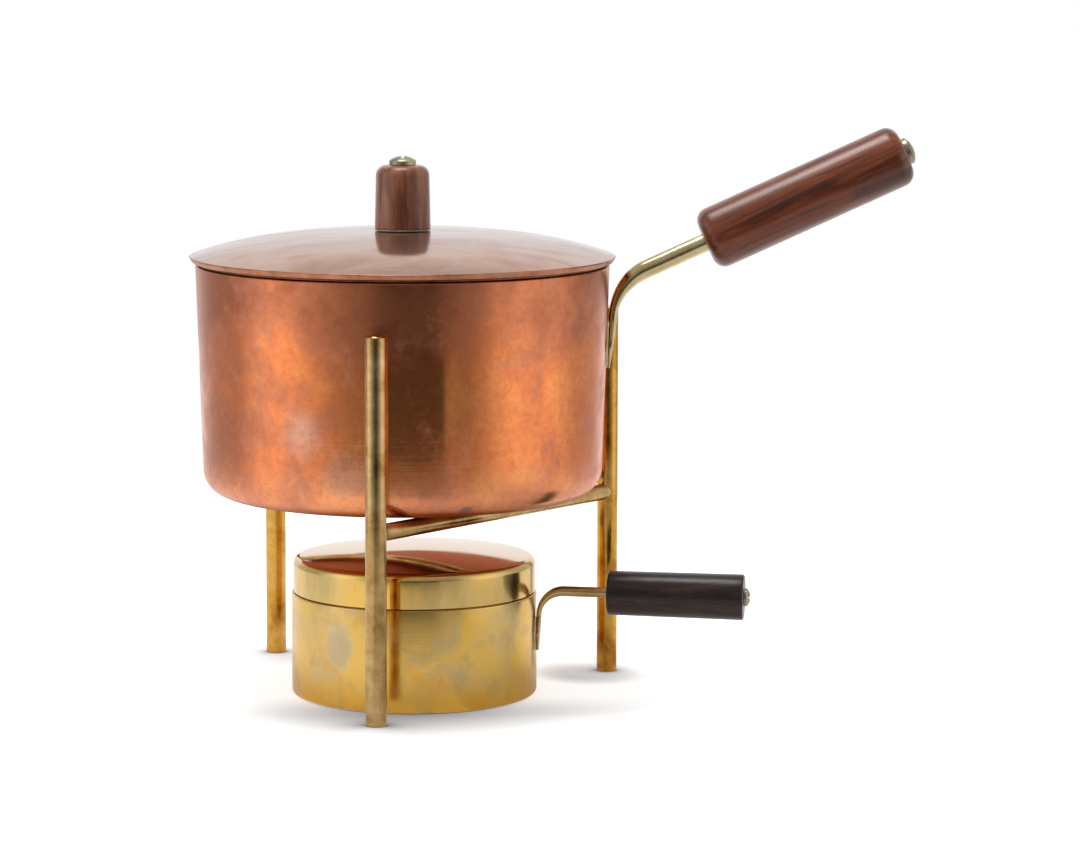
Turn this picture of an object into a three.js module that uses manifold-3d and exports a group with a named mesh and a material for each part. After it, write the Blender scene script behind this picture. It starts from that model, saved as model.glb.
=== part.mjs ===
// A fondue pot with its stand and spirit burner: a tapered copper pot with a domed lid sits on a
// brass stand of three round legs and a T of two bars, over a brass burner that slides in below.
// Millimetres, +Z up. The origin is on the pot's axis, at the level of the table.
import * as THREE from "three";
import { mergeVertices } from "three/addons/utils/BufferGeometryUtils.js";
import Module from "manifold-3d";

const wasm = await Module();
wasm.setup();

// Clearances between pieces.
const seatGap = 0.3; // between a piece and what it rests on or is brazed to
const slipGap = 0.4; // round a piece that lifts off, at each side
const boreGap = 0.2; // round a rod or a screw in its hole, at each side
const weldDistance = 0.001; // corners closer than this are one corner
const overrun = 1; // how far a cutter runs past what it cuts

// Pot: spun copper, wider at the rim, with a rounded foot.
const potRimRadius = 80;
const potTaper = 2.9; // how much less the radius is at the foot than at the rim
const potHeight = 88.9;
const potWall = 1.6;
const potFootRound = 10;

// Stand: three legs that stand just outside the pot, and the bars that the pot rests on.
const deckHeight = 75.3; // top of the bars above the table
const legDiameter = 8;
const legHeight = 145.6;
const legPotGap = 0.9;
const endChamfer = 0.7;
const barDiameter = 6.5;
const frontLegAngle = -96.9;
const rightLegAngle = 16.5;
const rearLegAngle = 127.8;

// Lid: a domed copper disc with a thick edge, and a ring below it that enters the pot.
const lidRadius = 82.4;
const lidDome = 9.6;
const lidSheet = 1.2;
const lidEdgeHeight = 2;
const lidEdgeUndercut = 1.1;
const ringFlangeInset = 0.8; // how far the ring's flange stays inside the pot's rim
const ringFlange = 1;
const ringSheet = 1;
const ringDepth = 7;

// Knob: a turned wooden knob on a brass washer, held by one long screw and a nut.
const knobHeight = 24.4;
const knobTopRadius = 10.25;
const knobFootRadius = 10.8;
const knobRound = 3.9;
const knobWasherOverhang = 0.05;
const knobWasherThickness = 0.6;
const knobNutHeight = 3;
const knobNutRadius = 4.2;
const knobScrewSlotAngle = 90;

// Screws with a slotted domed head, in two sizes.
const largeHeadRadius = 5.2;
const largeHeadEdge = 1.5;
const largeHeadDome = 1.8;
const largeShankRadius = 2;
const smallHeadRadius = 3.5;
const smallHeadEdge = 0.8;
const smallHeadDome = 1.4;
const smallShankRadius = 1;
const slotWidth = 1.2;
const slotDepthShare = 0.55; // of the head's dome

// Pot handle: a brass rod, hammered to a tongue at the pot, and a wooden grip.
const potHandleHeadingAngle = 0;
const potTongueDrop = 40.5; // from the rim down to the tongue's tip
const potTongueTip = 1.2;
const potTongueHeel = 3.4;
const potTongueWidth = 11;
const potBendDrop = 7.35; // from the rim down to the corner that the bend rounds off
const potBendRadius = 22;
const potHandleRiseAngle = 24.4;
const potRodDiameter = 7;
const potGripStart = 38.1; // from the bend's corner to the grip
const potGripLength = 84.5;
const potGripNearRadius = 12.1;
const potGripFarRadius = 12;
const potGripRound = 5;
const potRodInGrip = 56;
const potScrewLength = 40;
const potScrewSlotAngle = 20;

// Burner: a drawn brass can with a neck, on which a snuffer cap sits.
const burnerX = 4.3;
const burnerY = -16.4;
const canRadius = 47.3;
const canHeight = 39.5;
const canSheet = 0.8;
const canFootRound = 1.8;
const shoulderWidth = 1.4;
const neckSheet = 0.7;
const neckTop = 48.4; // above the table
const neckDepth = 9.5; // below the can's shoulder
const capSkirtHeight = 10.4;
const capSheet = 0.7;
const capShoulder = 3.1; // radius of the round between the skirt and the plate
const capDome = 3; // how much the plate rises above its shoulder
const waddingRise = 0.5; // above the can's shoulder
const gauzeThickness = 0.6;
const gripRingWidth = 2.4;
const gripRingHeight = 2;

// Burner handle: a brass wire and a slim dark grip.
const burnerHandleHeadingAngle = -9;
const wireTongueBottom = 17.3; // above the table
const wireTongueTip = 0.9;
const wireTongueHeel = 2;
const wireTongueWidth = 7;
const wireBendHeight = 40.5; // above the table
const wireBendRadius = 9.5;
const wireRiseAngle = -0.6;
const wireDiameter = 4;
const burnerGripStart = 26.3;
const burnerGripLength = 52.4;
const burnerGripNearRadius = 8.5;
const burnerGripFarRadius = 8.8;
const burnerGripRound = 0.8;
const wireInGrip = 34;
const burnerScrewLength = 26;
const burnerScrewSlotAngle = 70;

// How finely round shapes are divided.
const wideSides = 72;
const canSides = 56;
const gripSides = 28;
const rodSides = 16;
const nutSides = 6;
const arcSteps = 4;
const domeSteps = 8;
const bendSteps = 8;
const tongueSteps = 6;

// Where the pieces come from the sizes above.
const potBase = deckHeight + seatGap;
const potRim = potBase + potHeight;
const legRadius = legDiameter / 2;
const barRadius = barDiameter / 2;
const barAxis = deckHeight - barRadius;
const lidUnderside = potRim + seatGap + ringFlange;
const lidEdgeTop = lidUnderside + lidEdgeHeight;
const lidTop = lidEdgeTop + lidDome;
const knobFoot = lidTop + seatGap + knobWasherThickness;
const legCircle = potRadiusAt(legHeight) + legPotGap + legRadius;
const neckRadius = canRadius - shoulderWidth - seatGap;
const capBottom = canHeight + seatGap;

// Outer radius of the pot's wall at a height above the table.
function potRadiusAt(height) {
  const down = Math.min(Math.max((potRim - height) / potHeight, 0), 1);
  return potRimRadius - potTaper * down;
}

function polar(radius, degrees, height) {
  const turn = THREE.MathUtils.degToRad(degrees);
  return new THREE.Vector3(radius * Math.cos(turn), radius * Math.sin(turn), height);
}

// Points of a circular arc in a section, from one angle to another in degrees.
function arc(centreX, centreZ, radius, from, to, steps = arcSteps) {
  return Array.from({ length: steps + 1 }, (unused, step) => {
    const turn = THREE.MathUtils.degToRad(from + ((to - from) * step) / steps);
    return [centreX + radius * Math.cos(turn), centreZ + radius * Math.sin(turn)];
  });
}

// A turned piece about Z, from a section of radius and height that runs with the solid on its left.
function turned(section, sides) {
  const points = section.map(([radius, height]) => new THREE.Vector2(Math.max(radius, 0), height));
  return new THREE.LatheGeometry(points, sides).rotateX(Math.PI / 2);
}

function ring(inner, outer, bottom, top, sides) {
  const section = [
    [inner, bottom],
    [outer, bottom],
    [outer, top],
    [inner, top],
    [inner, bottom],
  ];
  return turned(section, sides);
}

function disc(radius, bottom, top, sides) {
  const section = [
    [0, bottom],
    [radius, bottom],
    [radius, top],
    [0, top],
  ];
  return turned(section, sides);
}

function toSolid(geometry) {
  const bare = geometry.clone();
  bare.deleteAttribute("normal");
  bare.deleteAttribute("uv");
  const merged = mergeVertices(bare, weldDistance);
  const mesh = new wasm.Mesh({
    numProp: 3,
    vertProperties: merged.attributes.position.array,
    triVerts: new Uint32Array(merged.index.array),
  });
  return new wasm.Manifold(mesh);
}

function cut(geometry, ...cutters) {
  let solid = toSolid(geometry);
  for (const cutter of cutters) {
    solid = solid.subtract(toSolid(cutter));
  }
  const mesh = solid.getMesh();
  const result = new THREE.BufferGeometry();
  result.setAttribute("position", new THREE.BufferAttribute(mesh.vertProperties, 3));
  result.setIndex(new THREE.BufferAttribute(mesh.triVerts, 1));
  result.computeVertexNormals();
  return result;
}

// A closed surface through rings of points, each ring with as many points, with flat ends.
function loft(rings) {
  const sides = rings[0].length;
  const points = rings.flat();
  const triangles = [];
  for (let ringIndex = 0; ringIndex < rings.length - 1; ringIndex += 1) {
    for (let side = 0; side < sides; side += 1) {
      const next = (side + 1) % sides;
      const low = ringIndex * sides;
      const high = low + sides;
      triangles.push(low + side, low + next, high + next);
      triangles.push(low + side, high + next, high + side);
    }
  }
  const last = (rings.length - 1) * sides;
  for (let side = 1; side < sides - 1; side += 1) {
    triangles.push(0, side + 1, side);
    triangles.push(last, last + side, last + side + 1);
  }
  const geometry = new THREE.BufferGeometry();
  const positions = new Float32Array(points.flatMap((point) => point.toArray()));
  geometry.setAttribute("position", new THREE.BufferAttribute(positions, 3));
  geometry.setIndex(triangles);
  geometry.computeVertexNormals();
  return geometry;
}

// A round rod between two points, made along Z and turned into place.
function rodBetween(from, to, radius) {
  const along = to.clone().sub(from);
  const geometry = disc(radius, 0, along.length(), rodSides);
  const turn = new THREE.Quaternion().setFromUnitVectors(
    new THREE.Vector3(0, 0, 1),
    along.clone().normalize(),
  );
  geometry.applyQuaternion(turn);
  return geometry.translate(from.x, from.y, from.z);
}

const finish = {
  copper: { color: 0xb4633c, roughness: 0.28, metalness: 1 },
  brass: { color: 0xb08d45, roughness: 0.3, metalness: 1 },
  rosewood: { color: 0x5e2c1e, roughness: 0.45, metalness: 0 },
  darkRosewood: { color: 0x2c201f, roughness: 0.45, metalness: 0 },
  wadding: { color: 0xe2dccd, roughness: 0.95, metalness: 0 },
  gauze: { color: 0x8a8c8e, roughness: 0.45, metalness: 1 },
};

function piece(name, geometry, look) {
  const mesh = new THREE.Mesh(geometry, new THREE.MeshStandardMaterial(look));
  mesh.name = name;
  return mesh;
}

function groupOf(...pieces) {
  return new THREE.Group().add(...pieces);
}

// Legs and bars. The bars end just short of the legs, in hollows of the leg's own radius.
function makeStand() {
  const feet = {
    front: polar(legCircle, frontLegAngle, 0),
    right: polar(legCircle, rightLegAngle, 0),
    rear: polar(legCircle, rearLegAngle, 0),
  };
  const legSection = [
    [0, 0],
    [legRadius - endChamfer, 0],
    [legRadius, endChamfer],
    [legRadius, legHeight - endChamfer],
    [legRadius - endChamfer, legHeight],
    [0, legHeight],
  ];
  const legs = Object.entries(feet).map(([side, foot]) => {
    const geometry = turned(legSection, rodSides).translate(foot.x, foot.y, 0);
    return piece(`stand_leg_${side}`, geometry, finish.brass);
  });
  const atDeck = (foot) => new THREE.Vector3(foot.x, foot.y, barAxis);
  const legCutter = (foot) =>
    disc(legRadius + seatGap, 0, legHeight, rodSides).translate(foot.x, foot.y, 0);
  const crossEnds = [atDeck(feet.front), atDeck(feet.right)];
  const middle = crossEnds[0].clone().add(crossEnds[1]).divideScalar(2);
  const cross = cut(
    rodBetween(crossEnds[0], crossEnds[1], barRadius),
    legCutter(feet.front),
    legCutter(feet.right),
  );
  const crossCutter = rodBetween(crossEnds[0], crossEnds[1], barRadius + seatGap);
  const stem = cut(
    rodBetween(middle, atDeck(feet.rear), barRadius),
    crossCutter,
    legCutter(feet.rear),
  );
  return groupOf(
    ...legs,
    piece("stand_cross_bar", cross, finish.brass),
    piece("stand_stem_bar", stem, finish.brass),
  );
}

// The pot is one spun shell, so its section is its outside, its rim and then its inside.
function makePotShell() {
  const foot = potRimRadius - potTaper;
  const footCentre = foot - potFootRound;
  const lean = THREE.MathUtils.radToDeg(Math.atan2(potTaper, potHeight));
  const inside = potFootRound - potWall;
  const section = [
    [0, potBase],
    ...arc(footCentre, potBase + potFootRound, potFootRound, -90, -lean),
    [potRimRadius, potRim],
    [potRimRadius - potWall, potRim],
    ...arc(footCentre, potBase + potFootRound, inside, -lean, -90),
    [0, potBase + potWall],
  ];
  return turned(section, wideSides);
}

// The dome is nearly flat in the middle and falls away with the cube of the radius. The edge is a
// thick hem with an undercut side.
function makeLidDisc() {
  const topAt = (radius) => lidTop - lidDome * (radius / lidRadius) ** 3;
  const hemInside = ringInsideRadius();
  const hole = largeShankRadius + boreGap;
  const along = (from, to, lift) =>
    Array.from({ length: domeSteps + 1 }, (unused, step) => {
      const radius = from + ((to - from) * step) / domeSteps;
      return [radius, topAt(radius) + lift];
    });
  const section = [
    ...along(lidRadius, hole, 0),
    ...along(hole, hemInside, -lidSheet),
    [hemInside, lidUnderside],
    [lidRadius - lidEdgeUndercut, lidUnderside],
    [lidRadius, lidEdgeTop],
  ];
  return turned(section, wideSides);
}

function ringOutsideRadius() {
  return potRadiusAt(potRim - ringDepth) - potWall - slipGap;
}

function ringInsideRadius() {
  return ringOutsideRadius() - ringSheet;
}

// The ring's flange lies between the lid and the pot's rim, and its skirt centres the lid.
function makeLidRing() {
  const flangeBottom = lidUnderside - ringFlange;
  const section = [
    [ringInsideRadius(), potRim - ringDepth],
    [ringOutsideRadius(), potRim - ringDepth],
    [ringOutsideRadius(), flangeBottom],
    [potRimRadius - ringFlangeInset, flangeBottom],
    [potRimRadius - ringFlangeInset, lidUnderside],
    [ringInsideRadius(), lidUnderside],
    [ringInsideRadius(), potRim - ringDepth],
  ];
  return turned(section, wideSides);
}

// A slotted screw on Z, its head standing on the height given and its shank below it.
function makeScrew(size, seat, length, slotAngle) {
  const dome = (size.head * size.head + size.dome * size.dome) / (2 * size.dome);
  const side = THREE.MathUtils.radToDeg(Math.acos(size.head / dome));
  const section = [
    [0, seat - length],
    [size.shank, seat - length],
    [size.shank, seat],
    [size.head, seat],
    ...arc(0, seat + size.edge + size.dome - dome, dome, side, 90),
  ];
  const depth = size.dome * slotDepthShare;
  const top = seat + size.edge + size.dome;
  const slot = new THREE.BoxGeometry(2 * (size.head + overrun), slotWidth, depth + overrun);
  slot.translate(0, 0, top - depth + (depth + overrun) / 2);
  slot.rotateZ(THREE.MathUtils.degToRad(slotAngle));
  return cut(turned(section, rodSides), slot);
}

const largeScrew = {
  head: largeHeadRadius,
  edge: largeHeadEdge,
  dome: largeHeadDome,
  shank: largeShankRadius,
};
const smallScrew = {
  head: smallHeadRadius,
  edge: smallHeadEdge,
  dome: smallHeadDome,
  shank: smallShankRadius,
};

function makeKnob() {
  const top = knobFoot + knobHeight;
  const hole = largeShankRadius + boreGap;
  const section = [
    [hole, knobFoot],
    [knobFootRadius, knobFoot],
    ...arc(knobTopRadius - knobRound, top - knobRound, knobRound, 0, 90),
    [hole, top],
    [hole, knobFoot],
  ];
  return turned(section, gripSides);
}

function makeLid() {
  const hole = largeShankRadius + boreGap;
  const washerBottom = lidTop + seatGap;
  const washerRadius = knobFootRadius + knobWasherOverhang;
  const nutTop = lidTop - lidSheet - seatGap;
  const screwSeat = knobFoot + knobHeight + seatGap;
  const screwLength = screwSeat - nutTop + knobNutHeight;
  const washer = ring(hole, washerRadius, washerBottom, washerBottom + knobWasherThickness, gripSides);
  const nut = cut(
    disc(knobNutRadius, nutTop - knobNutHeight, nutTop, nutSides),
    disc(hole, nutTop - knobNutHeight - overrun, nutTop + overrun, rodSides),
  );
  return groupOf(
    piece("lid_disc", makeLidDisc(), finish.copper),
    piece("lid_locating_ring", makeLidRing(), finish.copper),
    piece("lid_knob_washer", washer, finish.brass),
    piece("lid_knob", makeKnob(), finish.rosewood),
    piece("lid_knob_screw", makeScrew(largeScrew, screwSeat, screwLength, knobScrewSlotAngle), finish.brass),
    piece("lid_knob_nut", nut, finish.brass),
  );
}

// The centre line of a handle in its upright plane: up the tongue, round the bend, out to the end.
function handlePath(tip, corner, bendRadius, riseAngle, outLength) {
  const up = corner.clone().sub(tip).normalize();
  const rising = THREE.MathUtils.degToRad(riseAngle);
  const out = new THREE.Vector2(Math.cos(rising), Math.sin(rising));
  const turn = up.angle() - rising;
  const tangent = bendRadius * Math.tan(turn / 2);
  const bendStart = corner.clone().addScaledVector(up, -tangent);
  const centre = bendStart.clone().add(new THREE.Vector2(up.y, -up.x).multiplyScalar(bendRadius));
  const path = [];
  for (let step = 0; step < tongueSteps; step += 1) {
    const share = step / tongueSteps;
    path.push({ at: tip.clone().lerp(bendStart, share), heading: up.angle(), tongue: share, bend: 0 });
  }
  for (let step = 0; step <= bendSteps; step += 1) {
    const share = step / bendSteps;
    const heading = up.angle() - turn * share;
    const outward = new THREE.Vector2(-Math.sin(heading), Math.cos(heading));
    const at = centre.clone().addScaledVector(outward, bendRadius);
    path.push({ at, heading, tongue: 1, bend: share });
  }
  const end = corner.clone().addScaledVector(out, outLength);
  path.push({ at: end, heading: rising, tongue: 1, bend: 1 });
  return path;
}

// Half the tongue's width: round at its tip, widest in the middle, the rod's radius at the bend.
const tongueMiddleShare = 0.45;
const tongueTipShare = 0.35;

function tongueHalfWidth(share, width, rodRadius) {
  const rounded = Math.sin((Math.PI / 2) * Math.min(share / tongueMiddleShare, 1));
  const opening = tongueTipShare + (1 - tongueTipShare) * rounded;
  const closing = Math.max(share - tongueMiddleShare, 0) / (1 - tongueMiddleShare);
  const half = width / 2;
  return half * opening + (rodRadius - half) * THREE.MathUtils.smoothstep(closing, 0, 1);
}

// A rod along the path: flat and wide at the tongue, round past the bend, drilled at its far end.
function makeHandleRod(handle) {
  const rodRadius = handle.rodDiameter / 2;
  const rings = handle.path.map(({ at, heading, tongue, bend }) => {
    const flat = THREE.MathUtils.lerp(handle.tongueTip, handle.tongueHeel, tongue) / 2;
    const halfThickness = THREE.MathUtils.lerp(flat, rodRadius, THREE.MathUtils.smoothstep(bend, 0, 1));
    const halfWidth = tongueHalfWidth(tongue, handle.tongueWidth, rodRadius);
    return Array.from({ length: rodSides }, (unused, side) => {
      const turn = (2 * Math.PI * side) / rodSides;
      const across = halfThickness * Math.cos(turn);
      const x = at.x + Math.sin(heading) * across;
      const z = at.y - Math.cos(heading) * across;
      return new THREE.Vector3(x, halfWidth * Math.sin(turn), z);
    });
  });
  const hole = disc(
    handle.screw.shank + boreGap,
    -handle.screwInRod - overrun,
    overrun,
    rodSides,
  );
  return cut(loft(rings), alongHandle(hole, handle, handle.rodInGrip));
}

// Puts a piece made along Z on the handle's straight part, its zero at a distance into the grip.
function alongHandle(geometry, handle, distance) {
  const rising = THREE.MathUtils.degToRad(handle.riseAngle);
  const reach = handle.gripStart + distance;
  geometry.rotateY(Math.PI / 2 - rising);
  return geometry.translate(
    handle.corner.x + reach * Math.cos(rising),
    0,
    handle.corner.y + reach * Math.sin(rising),
  );
}

// The grip has a bore for the rod and a narrower hole for the screw beyond it.
function makeGrip(handle) {
  const bore = handle.rodDiameter / 2 + boreGap;
  const hole = handle.screw.shank + boreGap;
  const boreDepth = handle.rodInGrip + seatGap;
  const round = handle.gripRound;
  const section = [
    [bore, 0],
    ...arc(handle.gripNear - round, round, round, -90, 0),
    ...arc(handle.gripFar - round, handle.gripLength - round, round, 0, 90),
    [hole, handle.gripLength],
    [hole, boreDepth],
    [bore, boreDepth],
    [bore, 0],
  ];
  return alongHandle(turned(section, gripSides), handle, 0);
}

function makeHandle(prefix, handle, look) {
  const screwSeat = handle.gripLength + seatGap;
  const screw = makeScrew(handle.screw, 0, handle.screwLength, handle.slotAngle);
  return groupOf(
    piece(`${prefix}_rod`, makeHandleRod(handle), finish.brass),
    piece(`${prefix}_grip`, makeGrip(handle), look),
    piece(`${prefix}_screw`, alongHandle(screw, handle, screwSeat), finish.brass),
  );
}

// Fills in what follows from a handle's sizes: its bend's corner, its path and its screw's hole.
// The tongue lies along the wall, so its centre line leans out by half of what it thickens.
function planHandle(handle) {
  const wallLean = (handle.wallAt(handle.cornerHeight) - handle.wallAt(handle.tipHeight)) /
    (handle.cornerHeight - handle.tipHeight);
  const tip = new THREE.Vector2(
    handle.wallAt(handle.tipHeight) + seatGap + handle.tongueTip / 2,
    handle.tipHeight,
  );
  const rising = THREE.MathUtils.degToRad(handle.riseAngle);
  const straight = handle.cornerHeight - handle.tipHeight -
    handle.bendRadius * Math.tan((Math.PI / 2 - rising) / 2);
  const thickening = (handle.tongueHeel - handle.tongueTip) / 2 / straight;
  const corner = new THREE.Vector2(
    tip.x + (wallLean + thickening) * (handle.cornerHeight - handle.tipHeight),
    handle.cornerHeight,
  );
  const outLength = handle.gripStart + handle.rodInGrip;
  const path = handlePath(tip, corner, handle.bendRadius, handle.riseAngle, outLength);
  const screwInRod = handle.screwLength - (handle.gripLength - handle.rodInGrip);
  return { ...handle, corner, path, screwInRod };
}

function makePotHandle() {
  const handle = planHandle({
    wallAt: potRadiusAt,
    tipHeight: potRim - potTongueDrop,
    cornerHeight: potRim - potBendDrop,
    tongueTip: potTongueTip,
    tongueHeel: potTongueHeel,
    tongueWidth: potTongueWidth,
    bendRadius: potBendRadius,
    riseAngle: potHandleRiseAngle,
    rodDiameter: potRodDiameter,
    rodInGrip: potRodInGrip,
    gripStart: potGripStart,
    gripLength: potGripLength,
    gripNear: potGripNearRadius,
    gripFar: potGripFarRadius,
    gripRound: potGripRound,
    screw: largeScrew,
    screwLength: potScrewLength,
    slotAngle: potScrewSlotAngle,
  });
  const group = makeHandle("pot_handle", handle, finish.rosewood);
  group.rotation.z = THREE.MathUtils.degToRad(potHandleHeadingAngle);
  return group;
}

function makeBurnerHandle() {
  const handle = planHandle({
    wallAt: () => canRadius,
    tipHeight: wireTongueBottom,
    cornerHeight: wireBendHeight,
    tongueTip: wireTongueTip,
    tongueHeel: wireTongueHeel,
    tongueWidth: wireTongueWidth,
    bendRadius: wireBendRadius,
    riseAngle: wireRiseAngle,
    rodDiameter: wireDiameter,
    rodInGrip: wireInGrip,
    gripStart: burnerGripStart,
    gripLength: burnerGripLength,
    gripNear: burnerGripNearRadius,
    gripFar: burnerGripFarRadius,
    gripRound: burnerGripRound,
    screw: smallScrew,
    screwLength: burnerScrewLength,
    slotAngle: burnerScrewSlotAngle,
  });
  const group = makeHandle("burner_handle", handle, finish.darkRosewood);
  group.rotation.z = THREE.MathUtils.degToRad(burnerHandleHeadingAngle);
  return group;
}

// The can is one drawn piece: floor, rounded foot, wall and a flat shoulder with a round opening.
function makeCan() {
  const inside = canRadius - canSheet;
  const opening = canRadius - shoulderWidth;
  const section = [
    [0, 0],
    ...arc(canRadius - canFootRound, canFootRound, canFootRound, -90, 0),
    [canRadius, canHeight],
    [opening, canHeight],
    [opening, canHeight - canSheet],
    [inside, canHeight - canSheet],
    ...arc(canRadius - canFootRound, canFootRound, canFootRound - canSheet, 0, -90),
    [0, canSheet],
  ];
  return turned(section, canSides);
}

// The wadding fills the can and narrows where the neck ring stands in it.
function makeWadding() {
  const low = canRadius - canSheet - seatGap;
  const high = neckRadius - neckSheet - seatGap;
  const step = canHeight - neckDepth - seatGap;
  const top = canHeight + waddingRise;
  const section = [
    [0, canSheet + seatGap],
    [low - canFootRound, canSheet + seatGap],
    [low, canSheet + canFootRound + seatGap],
    [low, step],
    [high, step],
    [high, top],
    [0, top],
  ];
  return turned(section, canSides);
}

function makeBurner() {
  const inner = neckRadius - neckSheet;
  const gauzeBottom = canHeight + waddingRise + seatGap;
  const ringBottom = gauzeBottom + gauzeThickness + seatGap;
  const fit = inner - seatGap;
  const neck = ring(inner, neckRadius, canHeight - neckDepth, neckTop, canSides);
  const gauze = disc(fit, gauzeBottom, gauzeBottom + gauzeThickness, canSides);
  const holdDown = ring(fit - gripRingWidth, fit, ringBottom, ringBottom + gripRingHeight, canSides);
  return groupOf(
    piece("burner_can", makeCan(), finish.brass),
    piece("burner_neck_ring", neck, finish.brass),
    piece("burner_wadding", makeWadding(), finish.wadding),
    piece("burner_gauze", gauze, finish.gauze),
    piece("burner_gauze_ring", holdDown, finish.brass),
    makeBurnerHandle(),
  );
}

// The snuffer cap: a skirt round the neck, and a plate that is a cap of a large sphere, tangent to
// the round at the shoulder. The inside is the same outline, one sheet further in.
function makeCap() {
  const inside = neckRadius + slipGap;
  const skirt = inside + capSheet;
  const skirtTop = capBottom + capSkirtHeight;
  const roundCentre = skirt - capShoulder;
  const drop = (roundCentre ** 2 - capDome ** 2) / (2 * capDome); // from skirtTop to the sphere's centre
  const sphere = drop + capShoulder + capDome;
  const meeting = THREE.MathUtils.radToDeg(Math.atan2(drop, roundCentre));
  const plate = (radius, from, to) => arc(0, skirtTop - drop, radius, from, to);
  const shoulder = (radius, from, to) => arc(roundCentre, skirtTop, radius, from, to);
  const section = [
    [inside, capBottom],
    [skirt, capBottom],
    ...shoulder(capShoulder, 0, meeting),
    ...plate(sphere, meeting, 90).slice(1),
    ...plate(sphere - capSheet, 90, meeting),
    ...shoulder(capShoulder - capSheet, meeting, 0).slice(1),
    [inside, capBottom],
  ];
  return groupOf(piece("burner_cap", turned(section, canSides), finish.brass));
}

const stand = makeStand();
const pot = groupOf(piece("pot_shell", makePotShell(), finish.copper), makePotHandle());
const lid = makeLid();
const burner = makeBurner();
const cap = makeCap();
burner.position.set(burnerX, burnerY, 0);
cap.position.set(burnerX, burnerY, 0);

const fonduePot = groupOf(stand, pot, lid, burner, cap);
fonduePot.name = "fondue_pot_with_burner";

export default fonduePot;
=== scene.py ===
"""The looks of a copper fondue pot on its brass stand, over a brass spirit burner."""

import bmesh
import bpy
import numpy as np
from mathutils import Matrix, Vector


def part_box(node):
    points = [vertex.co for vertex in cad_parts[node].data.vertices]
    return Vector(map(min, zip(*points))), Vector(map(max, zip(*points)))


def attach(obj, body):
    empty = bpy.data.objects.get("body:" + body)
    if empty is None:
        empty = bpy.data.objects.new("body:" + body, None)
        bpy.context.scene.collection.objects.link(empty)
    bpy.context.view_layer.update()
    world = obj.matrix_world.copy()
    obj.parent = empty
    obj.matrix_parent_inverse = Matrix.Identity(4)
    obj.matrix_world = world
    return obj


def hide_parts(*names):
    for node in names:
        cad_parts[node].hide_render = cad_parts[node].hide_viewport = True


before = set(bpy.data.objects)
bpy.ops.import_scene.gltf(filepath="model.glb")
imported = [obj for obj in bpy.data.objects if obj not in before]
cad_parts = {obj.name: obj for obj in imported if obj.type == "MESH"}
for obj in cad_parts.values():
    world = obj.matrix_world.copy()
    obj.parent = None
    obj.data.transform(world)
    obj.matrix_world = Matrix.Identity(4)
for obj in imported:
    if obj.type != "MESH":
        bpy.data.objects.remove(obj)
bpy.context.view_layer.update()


# The studio: a white table before a white backdrop, a broad soft light on each side and a dim room
# behind the camera. The table ends half a metre in front of the pot, so that the copper wall
# mirrors the lights and the room, and the low burner mirrors the white table.
camera_place = (0, -1.5885, 0.3104)
camera_lens = 137.34
camera_yaw, camera_pitch, camera_roll = np.radians([1.92, 7.43, 0.16])
room_level, rear_level, backdrop_level = 0.32, 0.58, 0.95
rear_opens, backdrop_opens = (1.5, 2.1), (2.35, 2.9)
left_light = {"level": 1.22, "opens": (0.45, 1.35), "closes": (1.5, 1.9)}
right_light = {"level": 1.05, "opens": (0.6, 1.2), "closes": (1.5, 2.05)}
dark_level = 0.085
dark_left, dark_right = np.radians([-27, 23])
dark_left_blur, dark_right_blur = 0.36, 0.02
dark_heights = (0.1, 0.25)
ceiling_level = 0.45
ceiling_heights = (0.35, 0.8)
overhead_place = (-0.1, 0.05, 1.1)
overhead_tilt = (-0.05, -0.09, 0)
overhead_power = 4.2
overhead_size = 0.38
table_radius = 0.5
table_sides = 96
table_albedo, table_white = 0.8, 0.9
table_glow, mirrored_glow = 0.74, 0.35
contact_reach = 0.055
contact_power = 2.1
front_contact, front_contact_least = (0.025, 0.07), 0.15
foot_contact = (0.012, 0.034)
shade_near, shade_far = 0.1, 0.35
shade_least, shade_most = 0.2, 0.45
shade_left, shade_right = np.radians([-18, 24])
shade_left_blur, shade_right_blur = 0.1, 0.03
beside_shade = 0.3
beside_opens, beside_closes = (0.35, 0.45), (1.3, 1.9)


def put(tree, kind, inputs=None, **settings):
    """Adds a node; an input that is given a socket is linked to it, and any other is set."""
    node = tree.nodes.new("ShaderNode" + kind)
    for key, value in settings.items():
        setattr(node, key, value)
    for key, value in (inputs or {}).items():
        if isinstance(value, bpy.types.NodeSocket):
            tree.links.new(value, node.inputs[key])
        else:
            node.inputs[key].default_value = value
    return node


def calculate(tree, operation, first, second=0.0, third=0.0):
    """One sum of two or three values, such as their product or the greater of them."""
    return put(tree, "Math", {0: first, 1: second, 2: third}, operation=operation).outputs[0]


def remap(tree, value, low, high, to_low=0.0, to_high=1.0, smooth=True):
    """Carries the span from low to high over to the span from to_low to to_high."""
    inputs = {
        "Value": value,
        "From Min": low,
        "From Max": high,
        "To Min": to_low,
        "To Max": to_high,
    }
    interpolation = "SMOOTHSTEP" if smooth else "LINEAR"
    return put(tree, "MapRange", inputs, interpolation_type=interpolation).outputs["Result"]


def blend(tree, factor, first, second):
    """A value that goes from the first to the second as the factor goes from 0 to 1."""
    return put(tree, "Mix", {0: factor, 2: first, 3: second}, data_type="FLOAT").outputs[0]


def ray_kinds(tree):
    """1 for what the camera sees straight on, and 1 for what it sees in metal or through glass."""
    path = put(tree, "LightPath").outputs
    mirrored = calculate(tree, "MAXIMUM", path["Is Glossy Ray"], path["Is Transmission Ray"])
    return path["Is Camera Ray"], mirrored


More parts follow.
